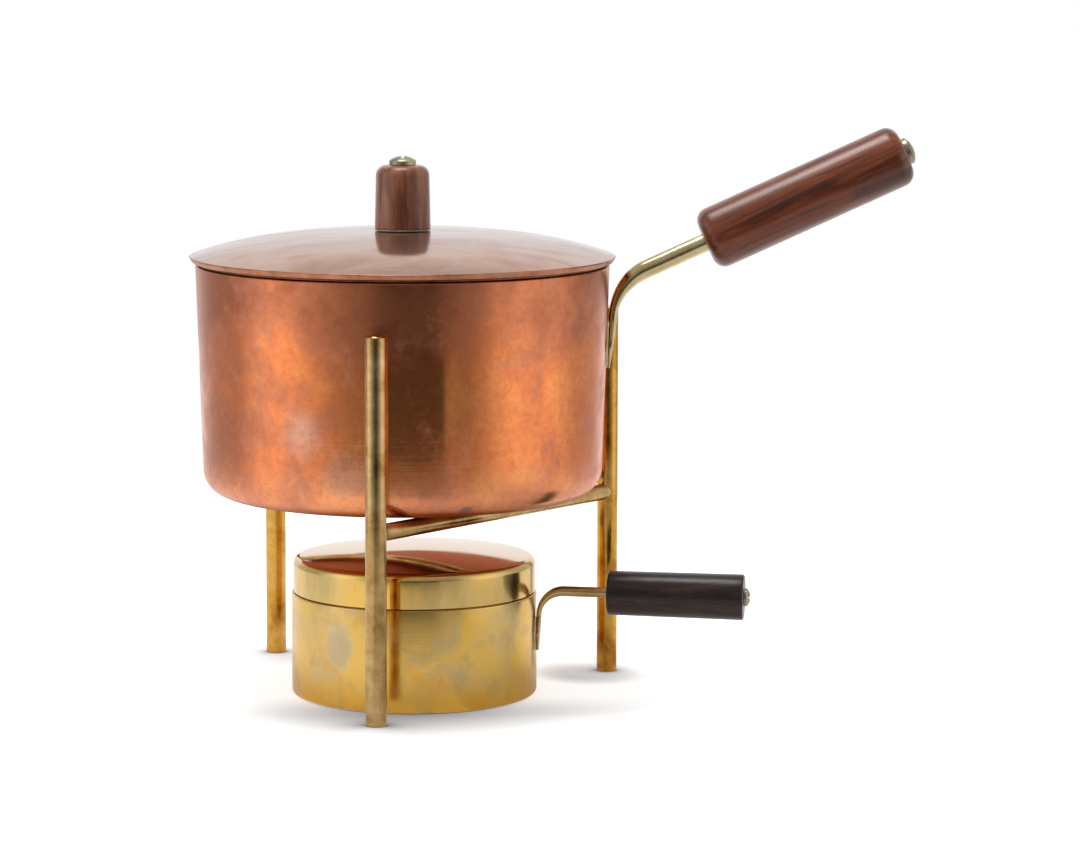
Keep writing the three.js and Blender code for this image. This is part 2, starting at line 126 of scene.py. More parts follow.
def set_camera():
    """Stands the camera at its place: forward is yawed from +Y towards +X and pitched down."""
    ahead = np.array([np.sin(camera_yaw), np.cos(camera_yaw), 0])
    right = np.array([np.cos(camera_yaw), -np.sin(camera_yaw), 0])
    forward = ahead * np.cos(camera_pitch) + np.array([0, 0, -np.sin(camera_pitch)])
    up = np.cross(right, forward)
    across = right * np.cos(camera_roll) + up * np.sin(camera_roll)
    upright = up * np.cos(camera_roll) - right * np.sin(camera_roll)
    camera = bpy.data.objects.new("camera", bpy.data.cameras.new("camera"))
    camera.data.lens = camera_lens
    matrix = np.eye(4)
    matrix[:3, :] = np.stack([across, upright, -forward, camera_place], axis=1)
    camera.matrix_world = Matrix(matrix.tolist())
    bpy.context.scene.collection.objects.link(camera)
    bpy.context.scene.camera = camera


def light_room():
    """Lights the room by direction: the level depends on how far a ray turns from the camera.

    A side light opens and closes by a smooth step of that turn, in radians. The wall behind the
    camera is dark up to a low height, and above the walls a grey ceiling takes over.
    """
    world = bpy.data.worlds.new("studio")
    world.use_nodes = True
    tree = world.node_tree
    ray = put(tree, "SeparateXYZ", {0: put(tree, "TexCoord").outputs["Generated"]}).outputs
    toward_camera = calculate(tree, "MULTIPLY", ray["Y"], -1.0)
    turn = calculate(tree, "ARCTAN2", ray["X"], toward_camera)
    away = calculate(tree, "ABSOLUTE", turn)
    level = remap(tree, away, *rear_opens, room_level, rear_level)
    for light, side in ((left_light, -1.0), (right_light, 1.0)):
        beside = calculate(tree, "MULTIPLY", turn, side)
        opened = remap(tree, beside, *light["opens"])
        shut = remap(tree, beside, *light["closes"], 1.0, 0.0)
        open_part = calculate(tree, "MULTIPLY", opened, shut)
        lit = calculate(tree, "MULTIPLY", open_part, light["level"] - room_level)
        level = calculate(tree, "ADD", level, lit)
    backdrop = remap(tree, away, *backdrop_opens)
    behind = calculate(tree, "MULTIPLY", backdrop, backdrop_level - rear_level)
    level = calculate(tree, "ADD", level, behind)
    left = remap(tree, turn, dark_left, dark_left + dark_left_blur)
    right = remap(tree, turn, dark_right, dark_right + dark_right_blur, 1.0, 0.0)
    low = remap(tree, ray["Z"], *dark_heights, 1.0, 0.0)
    dark = calculate(tree, "MULTIPLY", calculate(tree, "MULTIPLY", left, right), low)
    shade = remap(tree, dark, 0.0, 1.0, 1.0, dark_level / room_level, smooth=False)
    level = calculate(tree, "MULTIPLY", level, shade)
    level = blend(tree, remap(tree, ray["Z"], *ceiling_heights), level, ceiling_level)
    direct, mirrored = ray_kinds(tree)
    below_ceiling = remap(tree, ray["Z"], *ceiling_heights, 1.0, 0.0)
    shown = calculate(tree, "MULTIPLY", backdrop, below_ceiling)
    white = calculate(tree, "MAXIMUM", direct, calculate(tree, "MULTIPLY", mirrored, shown))
    strength = blend(tree, white, level, 1.0)
    tree.links.new(strength, tree.nodes["Background"].inputs["Strength"])
    tree.nodes["Background"].inputs["Color"].default_value = (1, 1, 1, 1)
    bpy.context.scene.world = world


def hang_overhead_light():
    """One soft square light above the set, which gives the handles their long highlights."""
    lamp = bpy.data.lights.new("overhead", "AREA")
    lamp.energy = overhead_power
    lamp.size = overhead_size
    holder = bpy.data.objects.new("overhead", lamp)
    holder.location = overhead_place
    holder.rotation_euler = overhead_tilt
    bpy.context.scene.collection.objects.link(holder)


def lay_table():
    """A round white table top, which glows for the camera and keeps its shadows.

    In the metal it glows less, and it is dark towards the camera, where the dim room shades it.
    The shade of near things gathers in front of the burner and round the right and rear feet.
    """
    turn = np.linspace(0, 2 * np.pi, table_sides, endpoint=False)
    ring = np.stack([table_radius * np.cos(turn), table_radius * np.sin(turn), 0 * turn], axis=1)
    mesh = bpy.data.meshes.new("table")
    mesh.from_pydata(ring.tolist(), [], [list(range(table_sides))])
    table = bpy.data.objects.new("table", mesh)
    bpy.context.scene.collection.objects.link(table)
    material = bpy.data.materials.new("table")
    material.use_nodes = True
    tree = material.node_tree
    spot = put(tree, "TexCoord").outputs["Object"]
    place = put(tree, "SeparateXYZ", {0: spot}).outputs
    forward = calculate(tree, "MULTIPLY", place["Y"], -1.0)
    bearing = calculate(tree, "ARCTAN2", place["X"], forward)
    left = remap(tree, bearing, shade_left - shade_left_blur, shade_left + shade_left_blur)
    right_low, right_high = shade_right - shade_right_blur, shade_right + shade_right_blur
    right = remap(tree, bearing, right_low, right_high, 1.0, 0.0)
    far = remap(tree, forward, shade_near, shade_far, shade_least, shade_most, smooth=False)
    far = calculate(tree, "MULTIPLY", far, remap(tree, forward, 0.0, shade_near))
    shaded = calculate(tree, "MULTIPLY", calculate(tree, "MULTIPLY", left, right), far)
    beside = remap(tree, bearing, *beside_closes, beside_shade, 0.0)
    beside = calculate(tree, "MULTIPLY", beside, remap(tree, bearing, *beside_opens))
    shaded = calculate(tree, "MAXIMUM", shaded, beside)
    direct, mirrored = ray_kinds(tree)
    near = put(tree, "AmbientOcclusion", {"Distance": contact_reach}, samples=16).outputs["AO"]
    near = calculate(tree, "POWER", near, contact_power)
    gathered = remap(tree, forward, *front_contact, front_contact_least, 1.0)
    for node in ("stand_leg_right", "stand_leg_rear"):
        foot = put(tree, "VectorMath", {0: spot, 1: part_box(node)[0]}, operation="DISTANCE")
        round_foot = remap(tree, foot.outputs["Value"], *foot_contact, 1.0, 0.0)
        gathered = calculate(tree, "MAXIMUM", gathered, round_foot)
    contact = blend(tree, calculate(tree, "MULTIPLY", gathered, direct), 1.0, near)
    whiteness = blend(tree, direct, table_albedo, table_white)
    paper = put(tree, "BsdfDiffuse", {"Color": calculate(tree, "MULTIPLY", whiteness, contact)})
    shown_glow = calculate(tree, "MULTIPLY", direct, table_glow)
    shown_glow = calculate(tree, "MULTIPLY", shown_glow, contact)
    metal_glow = calculate(tree, "MULTIPLY", mirrored, mirrored_glow)
    glow = put(tree, "Emission", {"Strength": calculate(tree, "ADD", shown_glow, metal_glow)})
    both = put(tree, "AddShader", {0: paper.outputs[0], 1: glow.outputs[0]})
    dark = put(tree, "BsdfDiffuse", {"Color": (dark_level, dark_level, dark_level, 1)})
    hidden = calculate(tree, "MULTIPLY", mirrored, shaded)
    surface = put(tree, "MixShader", {0: hidden, 1: both.outputs[0], 2: dark.outputs[0]})
    tree.links.new(surface.outputs[0], tree.nodes["Material Output"].inputs["Surface"])
    mesh.materials.append(material)


bpy.context.scene.view_settings.view_transform = "Standard"
set_camera()
light_room()
hang_overhead_light()
lay_table()


# The legs of the stand: three plain rods of half-hard brass, cut square, their ends chamfered with
# a file. They stand just outside the pot and reach half way up its wall.
leg_chamfer = 0.0006
rod_sides = 64
weld_gap = 1e-7
pale_tones = ((0.28, 0.15, 0.04, 1), (0.53, 0.34, 0.13, 1), (0.70, 0.51, 0.27, 1))
# Painted reflection: the right and rear legs are the same brass as the front leg, and the orange
# and dark streaks of their copy stand for the copper pot mirrored beside them.
pot_reflection_tones = ((0.33, 0.13, 0.015, 1), (0.66, 0.35, 0.06, 1), (0.80, 0.50, 0.15, 1))


def rounded(corners, radii, steps=6):
    """A section's corners, each rounded by the arc of its radius that touches both its sides.

    The arc's centre lies on the bisector, its radius over the sine of half the corner's angle
    away, and its points turn evenly from one side to the other.
    """
    corners = np.asarray(corners, float)
    share = np.linspace(0, 1, steps + 1)[:, None]
    points = [corners[:1]]
    for before, corner, after, radius in zip(corners[:-2], corners[1:-1], corners[2:], radii):
        if radius == 0:
            points.append(corner[None])
            continue
        back = (before - corner) / np.linalg.norm(before - corner)
        on = (after - corner) / np.linalg.norm(after - corner)
        half = np.arccos(np.clip(back @ on, -1, 1)) / 2
        middle = (back + on) / np.linalg.norm(back + on)
        centre = corner + middle * radius / np.sin(half)
        start = corner + back * radius / np.tan(half) - centre
        end = corner + on * radius / np.tan(half) - centre
        sweep = np.pi - 2 * half
        arc = (np.sin((1 - share) * sweep) * start + np.sin(share * sweep) * end) / np.sin(sweep)
        points.append(centre + arc)
    points.append(corners[-1:])
    return np.concatenate(points)


def skin(name, grid, loop=False, sharp=0.6):
    """A mesh over a grid of points. Each row is a ring round the piece, closed on itself.

    The face of row i and column j joins the points (i, j), (i, j + 1), (i + 1, j + 1) and
    (i + 1, j). With loop, the last row joins the first. A row drawn to one point is a pole.
    """
    rows, columns = grid.shape[:2]
    row = np.arange(rows if loop else rows - 1)[:, None]
    column = np.arange(columns)[None, :]
    near, far = row * columns, (row + 1) % rows * columns
    following = (column + 1) % columns
    faces = np.stack([near + column, near + following, far + following, far + column], axis=-1)
    mesh = bpy.data.meshes.new(name)
    mesh.from_pydata(grid.reshape(-1, 3).tolist(), [], faces.reshape(-1, 4).tolist())
    shape = bmesh.new()
    shape.from_mesh(mesh)
    bmesh.ops.remove_doubles(shape, verts=shape.verts, dist=weld_gap)
    bmesh.ops.recalc_face_normals(shape, faces=shape.faces)
    shape.to_mesh(mesh)
    shape.free()
    mesh.shade_smooth()
    mesh.set_sharp_from_angle(angle=sharp)
    piece = bpy.data.objects.new(name, mesh)
    bpy.context.scene.collection.objects.link(piece)
    return piece


def turned_grid(section, sides):
    """Rings about Z: x is the radius times the turn's cosine, y times its sine, z the height."""
    turn = np.linspace(0, 2 * np.pi, sides, endpoint=False)
    radius, height = np.asarray(section, float).T
    across = np.stack([np.cos(turn), np.sin(turn), 0 * turn], axis=1)
    return radius[:, None, None] * across + height[:, None, None] * np.array([0, 0, 1.0])


def new_finish(name):
    """A new material, its node tree, its surface shader and its place on the piece."""
    material = bpy.data.materials.new(name)
    material.use_nodes = True
    tree = material.node_tree
    place = put(tree, "TexCoord").outputs["Object"]
    return material, tree, tree.nodes["Principled BSDF"], place


def stretched(tree, place, scale, turn=(0, 0, 0)):
    """The place turned and then scaled, so that a pattern on it is drawn out along an axis."""
    turned = put(tree, "Mapping", {"Vector": place, "Rotation": turn})
    return put(tree, "Mapping", {"Vector": turned.outputs[0], "Scale": scale}).outputs[0]


def cloud(tree, place, scale, detail=6.0, roughness=0.6, distortion=0.0):
    """A soft cloudy pattern between 0 and 1, with scale features to the metre."""
    inputs = {
        "Vector": place,
        "Scale": scale,
        "Detail": detail,
        "Roughness": roughness,
        "Distortion": distortion,
    }
    return put(tree, "TexNoise", inputs).outputs["Fac"]


def tones(tree, factor, stops):
    """Colours along a factor, from pairs of a position and a colour."""
    ramp = put(tree, "ValToRGB", {"Fac": factor})
    elements = ramp.color_ramp.elements
    while len(elements) < len(stops):
        elements.new(0.5)
    for element, (position, colour) in zip(elements, stops):
        element.position = position
        element.color = colour
    return ramp.outputs["Color"]


def over(tree, factor, below, above):
    """One colour laid over another by a factor."""
    mix = put(tree, "Mix", {0: factor, 6: below, 7: above}, data_type="RGBA")
    return mix.outputs[2]


def relief(tree, shader, height, depth, strength=1.0):
    """Raises the surface by a height pattern, to the depth given in metres."""
    bump = put(tree, "Bump", {"Height": height, "Distance": depth, "Strength": strength})
    tree.links.new(bump.outputs[0], shader.inputs["Normal"])


def stained(tree, colour, stain, pattern, span, most):
    """A colour under a stain, which is nothing at the span's start and its most at its end."""
    return over(tree, remap(tree, pattern, *span, 0.0, most), colour, stain)


def roughen(tree, shader, pattern, span, roughness):
    """Makes the surface rougher or smoother with a pattern, from span to span."""
    tree.links.new(remap(tree, pattern, *span, *roughness), shader.inputs["Roughness"])


def rod_brass(name, shades, roughness, turn=(0, 0, 0)):
    """Drawn brass rod: cloudy handling marks, small dark specks and fine drawing lines, which run
    along Z once the place is turned."""
    material, tree, shader, place = new_finish(name)
    marks = cloud(tree, place, 60, detail=8, roughness=0.65, distortion=0.4)
    colour = tones(tree, marks, [(0.32, shades[0]), (0.5, shades[1]), (0.68, shades[2])])
    specks = cloud(tree, place, 900, detail=3)
    colour = stained(tree, colour, (0.11, 0.055, 0.02, 1), specks, (0.66, 0.74), 0.55)
    tree.links.new(colour, shader.inputs["Base Color"])
    roughen(tree, shader, marks, (0.3, 0.7), roughness)
    lines = cloud(tree, stretched(tree, place, (1400, 1400, 45), turn), 1, detail=3)
    relief(tree, shader, lines, 0.00003, 0.5)
    shader.inputs["Metallic"].default_value = 1
    return material


def dress(piece, node, slot, body, *materials):
    """Gives the piece its materials and puts it in the node's place, on its body. The slot is not
    used.
    """
    for material in materials:
        piece.data.materials.append(material)
    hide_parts(node)
    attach(piece, body)


stand_brass = rod_brass("stand_brass", pale_tones, (0.1, 0.25))
brass_with_pot_reflection = rod_brass("brass_with_pot_reflection", pot_reflection_tones, (0.1, 0.25))


def make_leg(node, brass):
    """A rod from the table to its top, the section a rectangle with two chamfers."""
    low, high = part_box(node)
    radius = (high.x - low.x) / 2
    centre = np.array([(low.x + high.x) / 2, (low.y + high.y) / 2, 0])
    section = rounded(
        [
            (0, low.z),
            (radius - leg_chamfer, low.z),
            (radius, low.z + leg_chamfer),
            (radius, high.z - leg_chamfer),
            (radius - leg_chamfer, high.z),
            (0, high.z),
        ],
        [leg_chamfer / 3] * 4,
        steps=3,
    )
    leg = skin(node + "_rod", turned_grid(section, rod_sides) + centre)
    dress(leg, node, "stand_brass", "stand", brass)
    return centre, radius


leg_places = {}
# The right and rear legs take the brass copy with the painted reflection of the copper pot.
for side, brass in (("front", stand_brass), ("right", brass_with_pot_reflection), ("rear", brass_with_pot_reflection)):
    leg_places[side], leg_radius = make_leg("stand_leg_" + side, brass)


# The bars that the pot rests on: a cross bar from the front leg to the right leg, and a stem bar
# from its middle to the rear leg. Their ends are coped to the rod they meet and silver brazed,
# which leaves a pale fillet round each joint.
bar_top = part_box("stand_cross_bar")[1].z
bar_radius = (bar_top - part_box("stand_cross_bar")[0].z) / 2
bar_height = bar_top - bar_radius
bar_rows = 25
leg_cope, bar_cope = 0.003, 0.002
braze_size = 0.0007
braze_sink = 0.0003
braze_overlap = 0.00005
braze_root = 0.0012
braze_rows, braze_sides = 9, 48
braze_tones = ((0.50, 0.33, 0.17, 1), (0.70, 0.55, 0.36, 1), (0.80, 0.70, 0.55, 1))


def close_ends(grid):
    """The grid with one more ring at each end, drawn to the middle of the end, which closes it."""
    ends = [np.broadcast_to(row.mean(axis=0), (1, *row.shape)) for row in (grid[0], grid[-1])]
    return np.concatenate([ends[0], grid, ends[1]])


def joint_fillet(name, start, direction, met_radius, met_upright):
    """The braze round a bar where it meets another rod.

    Ring t of the fillet has a radius that grows from the bar's to the bar's and the fillet's by a
    quarter circle, and each point lies on the met rod's surface plus what is left of the fillet.
    """
    turn = np.linspace(0, 2 * np.pi, braze_sides, endpoint=False)[None, :]
    share = np.linspace(0, 1, braze_rows)[:, None] * np.pi / 2
    beside = 1.0 if met_upright else np.abs(np.sin(turn)) ** 2
    ring = bar_radius - braze_overlap + braze_size * (1 - np.cos(share)) * beside
    side, rise = ring * np.sin(turn), ring * np.cos(turn)
    offset = side if met_upright else rise
    on_rod = np.sqrt(np.maximum(met_radius**2 - offset**2, 0))
    reach = on_rod - braze_sink + braze_size * (1 - np.sin(share))
    upright = np.array([0, 0, 1.0])
    sideways = np.cross(upright, direction)
    grid = start + reach[..., None] * direction + side[..., None] * sideways
    grid = grid + rise[..., None] * upright
    root = grid[-1:] - braze_root * direction
    fillet = skin(name, close_ends(np.concatenate([grid, root])))
    fillet.data.materials.append(braze)
    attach(fillet, "stand")


def make_bar(node, start, end, start_cope, end_cope):
    """A rod between two points, each end drawn back to the surface of the rod it meets."""
    along = (end - start) / np.linalg.norm(end - start)
    upright = np.array([0, 0, 1.0])
    sideways = np.cross(upright, along)
    turn = np.linspace(0, 2 * np.pi, rod_sides, endpoint=False)[:, None]
    ring = bar_radius * (np.cos(turn) * upright + np.sin(turn) * sideways)
    first, last = start + along * start_cope, end - along * end_cope
    line = first + (last - first) * np.linspace(0, 1, bar_rows)[:, None, None]
    bar = skin(node + "_rod", close_ends(line + ring))
    dress(bar, node, "stand_brass", "stand", stand_brass)
    return along


braze = rod_brass("braze", braze_tones, (0.3, 0.5))
lift = np.array([0, 0, bar_height])
bar_ends = {side: place + lift for side, place in leg_places.items()}
bar_middle = (bar_ends["front"] + bar_ends["right"]) / 2
cross_way = make_bar(
    "stand_cross_bar", bar_ends["front"], bar_ends["right"], leg_cope, leg_cope
)
stem_way = make_bar("stand_stem_bar", bar_middle, bar_ends["rear"], bar_cope, leg_cope)
joint_fillet("front_leg_braze", bar_ends["front"], cross_way, leg_radius, True)
joint_fillet("right_leg_braze", bar_ends["right"], -cross_way, leg_radius, True)
joint_fillet("rear_leg_braze", bar_ends["rear"], -stem_way, leg_radius, True)
joint_fillet("bar_braze", bar_middle, stem_way, bar_radius, False)


# The pot: a copper bowl spun from sheet, tinned inside. Years of use have turned its wall a
# mottled orange and brown, with pale hazy patches where it was rubbed or scorched.
pot_low, pot_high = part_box("pot_shell")
pot_radius = pot_high.x
pot_wall = 0.0016
pot_taper = 0.0029
pot_lean = pot_taper / (pot_high.z - pot_low.z)
pot_foot_round = 0.01
pot_lip_round = 0.0006
pot_sides = 288
wall_rows = 24
# Heights over which the wall turns browner: partly tarnish, partly painted shade under the lid.
rim_shade_and_tarnish = (0.120, 0.160)
rubbed_patch = {
    "bearing": -119,
    "radius": pot_radius,
    "height": 0.107,
    "size": (0.012, 0.012, 0.013),
    "softness": 0.8,
    "most": 0.45,
    "colour": (0.88, 0.55, 0.42, 1),
}
dull_patch = {
    "bearing": -106,
    "radius": pot_radius,
    "height": 0.092,
    "size": (0.012, 0.012, 0.011),
    "softness": 0.5,
    "most": 0.5,
    "colour": (0.62, 0.34, 0.25, 1),
}
scorched_patch = {
    "bearing": -72,
    "radius": pot_radius - 0.006,
    "height": 0.0795,
    "size": (0.003, 0.003, 0.0025),
    "softness": 0.5,
    "most": 0.7,
    "colour": (0.20, 0.17, 0.15, 1),
}
patch_wander = 0.008


def soft_patch(tree, place, patch):
    """A soft oval patch on a round wall: 1 in its middle, falling to 0 at its size.

    The distance is the length of the offset from the middle, each part over its size. A cloud
    moves the place a little first, so that the edge wanders.
    """
    turn, radius = np.radians(patch["bearing"]), patch["radius"]
    centre = (radius * np.cos(turn), radius * np.sin(turn), patch["height"])
    drift = put(tree, "TexNoise", {"Vector": place, "Scale": 120.0, "Detail": 4.0}).outputs["Color"]
    nudge = put(tree, "VectorMath", {0: drift, 1: (0.5, 0.5, 0.5)}, operation="SUBTRACT").outputs[0]
    nudge = put(tree, "VectorMath", {0: nudge, 3: patch_wander}, operation="SCALE").outputs[0]
    moved = put(tree, "VectorMath", {0: place, 1: nudge}, operation="ADD").outputs[0]
    offset = put(tree, "VectorMath", {0: moved, 1: centre}, operation="SUBTRACT").outputs[0]
    sized = {0: offset, 1: patch["size"]}
    scaled = put(tree, "VectorMath", sized, operation="DIVIDE").outputs[0]
    distance = put(tree, "VectorMath", {0: scaled}, operation="LENGTH").outputs["Value"]
    return remap(tree, distance, 1 - patch["softness"], 1.0, 1.0, 0.0)


def old_copper():
    """Copper with a brick-brown patina that is worn through to bright orange in ragged patches.

    The patina is the sum of a broad and a ragged cloud. Towards the rim the wall turns browner,
    partly as tarnish and partly as painted shade under the lid's overhang. The underside, which
    stands over the flame, is made much darker.
    """
    material, tree, shader, place = new_finish("old_copper")
    broad = cloud(tree, place, 24, detail=4, roughness=0.5, distortion=0.7)
    ragged = cloud(tree, place, 90, detail=9, roughness=0.74, distortion=0.8)
    height = put(tree, "SeparateXYZ", {0: place}).outputs["Z"]
    patina = calculate(tree, "MULTIPLY", broad, 0.6)
    patina = calculate(tree, "ADD", patina, calculate(tree, "MULTIPLY", ragged, 0.4))
    # Browner towards the rim: partly tarnish, partly painted shade under the lid's overhang.
    patina = calculate(tree, "ADD", patina, remap(tree, height, *rim_shade_and_tarnish, 0.0, 0.17))
    bright, warm = (0.97, 0.335, 0.105, 1), (0.86, 0.255, 0.09, 1)
    brick, brown = (0.66, 0.215, 0.10, 1), (0.48, 0.15, 0.07, 1)
    hazy, speck, underside_tone = (0.84, 0.42, 0.27, 1), (0.22, 0.07, 0.035, 1), (0.42, 0.095, 0.02, 1)
    colour = tones(tree, patina, [(0.40, bright), (0.49, warm), (0.57, brick), (0.68, brown)])
    pale = remap(tree, cloud(tree, place, 48, detail=7, roughness=0.7), 0.52, 0.76, 0.0, 0.4)
    colour = over(tree, pale, colour, (0.78, 0.40, 0.27, 1))
    haze = remap(tree, height, pot_low.z + 0.022, pot_low.z + 0.006, 0.0, 0.3)
    colour = over(tree, haze, colour, hazy)
    for patch in (rubbed_patch, dull_patch, scorched_patch):
        share = calculate(tree, "MULTIPLY", soft_patch(tree, place, patch), patch["most"])
        colour = over(tree, share, colour, patch["colour"])
    grain = cloud(tree, place, 420, detail=4, roughness=0.7)
    colour = stained(tree, colour, brown, grain, (0.42, 0.7), 0.3)
    colour = stained(tree, colour, speck, cloud(tree, place, 760, detail=3), (0.67, 0.75), 0.5)
    # The underside is made much darker and rougher.
    darkened = remap(tree, height, pot_low.z + 0.004, pot_low.z + 0.0005, 0.0, 0.9)
    colour = over(tree, darkened, colour, underside_tone)
    tree.links.new(colour, shader.inputs["Base Color"])
    rough = calculate(tree, "MULTIPLY", calculate(tree, "ADD", pale, haze), 0.35)
    rough = calculate(tree, "ADD", remap(tree, patina, 0.42, 0.64, 0.11, 0.29), rough)
    rough = calculate(tree, "MAXIMUM", rough, calculate(tree, "MULTIPLY", darkened, 0.6))
    tree.links.new(rough, shader.inputs["Roughness"])
    spun = cloud(tree, stretched(tree, place, (9, 9, 900)), 1, detail=4)
    dents = cloud(tree, place, 34, detail=2)
    raised = calculate(tree, "MULTIPLY_ADD", dents, 9.0, spun)
    relief(tree, shader, raised, 0.000015, 0.6)
    shader.inputs["Metallic"].default_value = 1
    return material


def wiped_tin():
    """Tin wiped on by hand: dull silver with swirls from the cloth and grey stains."""
    material, tree, shader, place = new_finish("tin_lining")
    swirls = stretched(tree, place, (60, 60, 160))
    wiped = cloud(tree, swirls, 1, detail=7, roughness=0.65, distortion=1.2)
    grey, silver, light = (0.33, 0.31, 0.29, 1), (0.52, 0.50, 0.47, 1), (0.66, 0.64, 0.61, 1)
    colour = tones(tree, wiped, [(0.3, grey), (0.5, silver), (0.72, light)])
    tree.links.new(colour, shader.inputs["Base Color"])
    roughen(tree, shader, wiped, (0.3, 0.7), (0.28, 0.48))
    relief(tree, shader, wiped, 0.00005, 0.5)
    shader.inputs["Metallic"].default_value = 1
    return material


def finish_faces(piece, index, is_picked):
    """Gives the faces that is_picked picks, by centre and normal, the material at the index."""
    faces = piece.data.polygons
    centres, normals = np.zeros(len(faces) * 3), np.zeros(len(faces) * 3)
    indices = np.zeros(len(faces), np.int32)
    faces.foreach_get("center", centres)
    faces.foreach_get("normal", normals)
    faces.foreach_get("material_index", indices)
    picked = is_picked(centres.reshape(-1, 3), normals.reshape(-1, 3))
    faces.foreach_set("material_index", np.where(picked, index, indices).astype(np.int32))


def make_pot():
    """The bowl's closed section: floor, rounded foot, leaning wall, soft lip, and back inside."""
    floor, rim = pot_low.z, pot_high.z
    foot = pot_radius - pot_taper
    section = rounded(
        [
            (0, floor),
            (foot, floor),
            (pot_radius, rim),
            (pot_radius - pot_wall, rim),
            (foot - pot_wall, floor + pot_wall),
            (0, floor + pot_wall),
        ],
        [pot_foot_round, pot_lip_round, pot_lip_round, pot_foot_round - pot_wall],
        steps=14,
    )
    shares = np.linspace(0, 1, wall_rows)[1:-1, None]
    outer_end = np.flatnonzero(section[:, 0] < foot + pot_lean * pot_foot_round)
    outer_end = outer_end[outer_end < len(section) // 2].max()
    wall = section[outer_end] + (section[outer_end + 1] - section[outer_end]) * shares
    section = np.concatenate([section[: outer_end + 1], wall, section[outer_end + 1 :]])
    pot = skin("pot_bowl", turned_grid(section, pot_sides))
    dress(pot, "pot_shell", "copper", "pot", old_copper(), tin_lining)

    def is_inside(centre, normal):
        """Faces that look at the axis, and those that look up from below the rim."""
        radius = np.hypot(centre[:, 0], centre[:, 1])
        outward = (centre[:, 0] * normal[:, 0] + centre[:, 1] * normal[:, 1]) / radius
        return (outward < -0.3) | ((normal[:, 2] > 0.3) & (centre[:, 2] < rim - pot_wall))

    finish_faces(pot, 1, is_inside)


tin_lining = wiped_tin()
make_pot()


# The pot handle: a rod of pale brass whose end is hammered to a flat tongue and brazed to the
# wall, then bent outwards below the rim. The straight part rises into a turned rosewood grip,
# which a slotted screw in its far end holds on.
seat_gap = 0.0003
bore_gap = 0.0002
bore_depth = 0.012
tongue_drop = 0.0405
corner_drop = 0.00735
# The corner is where the tongue's line and the straight part's would meet without the bend, and
# the grip starts at its distance from there. The heading, the rise and the slot are in degrees.
pot_handle = {
    "body": "pot",
    "heading": 0.0,
    "axis": (0.0, 0.0),
    "wall_low": pot_radius - pot_lean * tongue_drop,
    "wall_lean": pot_lean,
    "tip_height": pot_high.z - tongue_drop,
    "corner_height": pot_high.z - corner_drop,
    "tongue_tip": 0.0012,
    "tongue_heel": 0.0034,
    "tongue_width": 0.011,
    "bend_radius": 0.022,
    "rise": 24.4,
    "rod": 0.007,
    "grip_start": 0.0381,
    "grip_length": 0.0845,
    "grip_near": 0.0121,
    "grip_far": 0.01199,
    "grip_round": 0.005,
    "head": 0.0052,
    "head_edge": 0.0015,
    "head_dome": 0.00176,
    "shank": 0.002,
    "slot_turn": 20.0,
}
line_steps, straight_steps, oval_sides = 25, 13, 40
tongue_middle_share = 0.45
tongue_tip_share = 0.35
tongue_square = 0.55
bead_share = 0.55
bead_span = (0.02, 0.9)
bead_sides = 10
bore_edge = 0.0003
grip_rows, grip_sides = 14, 96
slot_width = 0.0012
slot_depth_share = 0.55
screw_rows, slot_rows, screw_columns = 12, 5, 25
handle_tones = ((0.50, 0.37, 0.16, 1), (0.68, 0.54, 0.27, 1), (0.78, 0.67, 0.40, 1))
screw_tones = ((0.22, 0.18, 0.12, 1), (0.40, 0.34, 0.23, 1), (0.58, 0.52, 0.38, 1))
rosewood_tones = ((0.06, 0.011, 0.004, 1), (0.21, 0.043, 0.010, 1), (0.32, 0.088, 0.028, 1))


def smooth_step(value):
    """Three squares less two cubes, held between 0 and 1."""
    value = np.clip(value, 0, 1)
    return value * value * (3 - 2 * value)


def plan_handle(handle):
    """Adds the corner that the bend rounds off and the turned frame of the straight part."""
    heading, rise = np.radians([handle["heading"], handle["rise"]])
    outward = np.array([np.cos(heading), np.sin(heading), 0])
    sideways = np.array([-np.sin(heading), np.cos(heading), 0])
    upright = np.array([0, 0, 1.0])
    span = handle["corner_height"] - handle["tip_height"]
    straight = span - handle["bend_radius"] * np.tan((np.pi / 2 - rise) / 2)
    thickening = (handle["tongue_heel"] - handle["tongue_tip"]) / 2 / straight
    tip_out = handle["wall_low"] + seat_gap + handle["tongue_tip"] / 2
    corner_out = tip_out + (handle["wall_lean"] + thickening) * span
    handle["tip"] = np.array([tip_out, handle["tip_height"]])
    handle["corner"] = np.array([corner_out, handle["corner_height"]])
    handle["along"] = outward * np.cos(rise) + upright * np.sin(rise)
    handle["plane"] = (outward, sideways, upright)
    origin = np.array([*handle["axis"], 0])
    handle["place"] = lambda out, up: origin + np.outer(out, outward) + np.outer(up, upright)
    normal = upright * np.cos(rise) - outward * np.sin(rise)
    corner = origin + corner_out * outward + handle["corner_height"] * upright
    turned = np.stack([sideways, normal, handle["along"]])

    def on_straight(grid, distance):
        """Carries points made about Z onto the straight part, at a distance from the corner."""
        return corner + handle["along"] * distance + grid @ turned

    handle["on_straight"] = on_straight


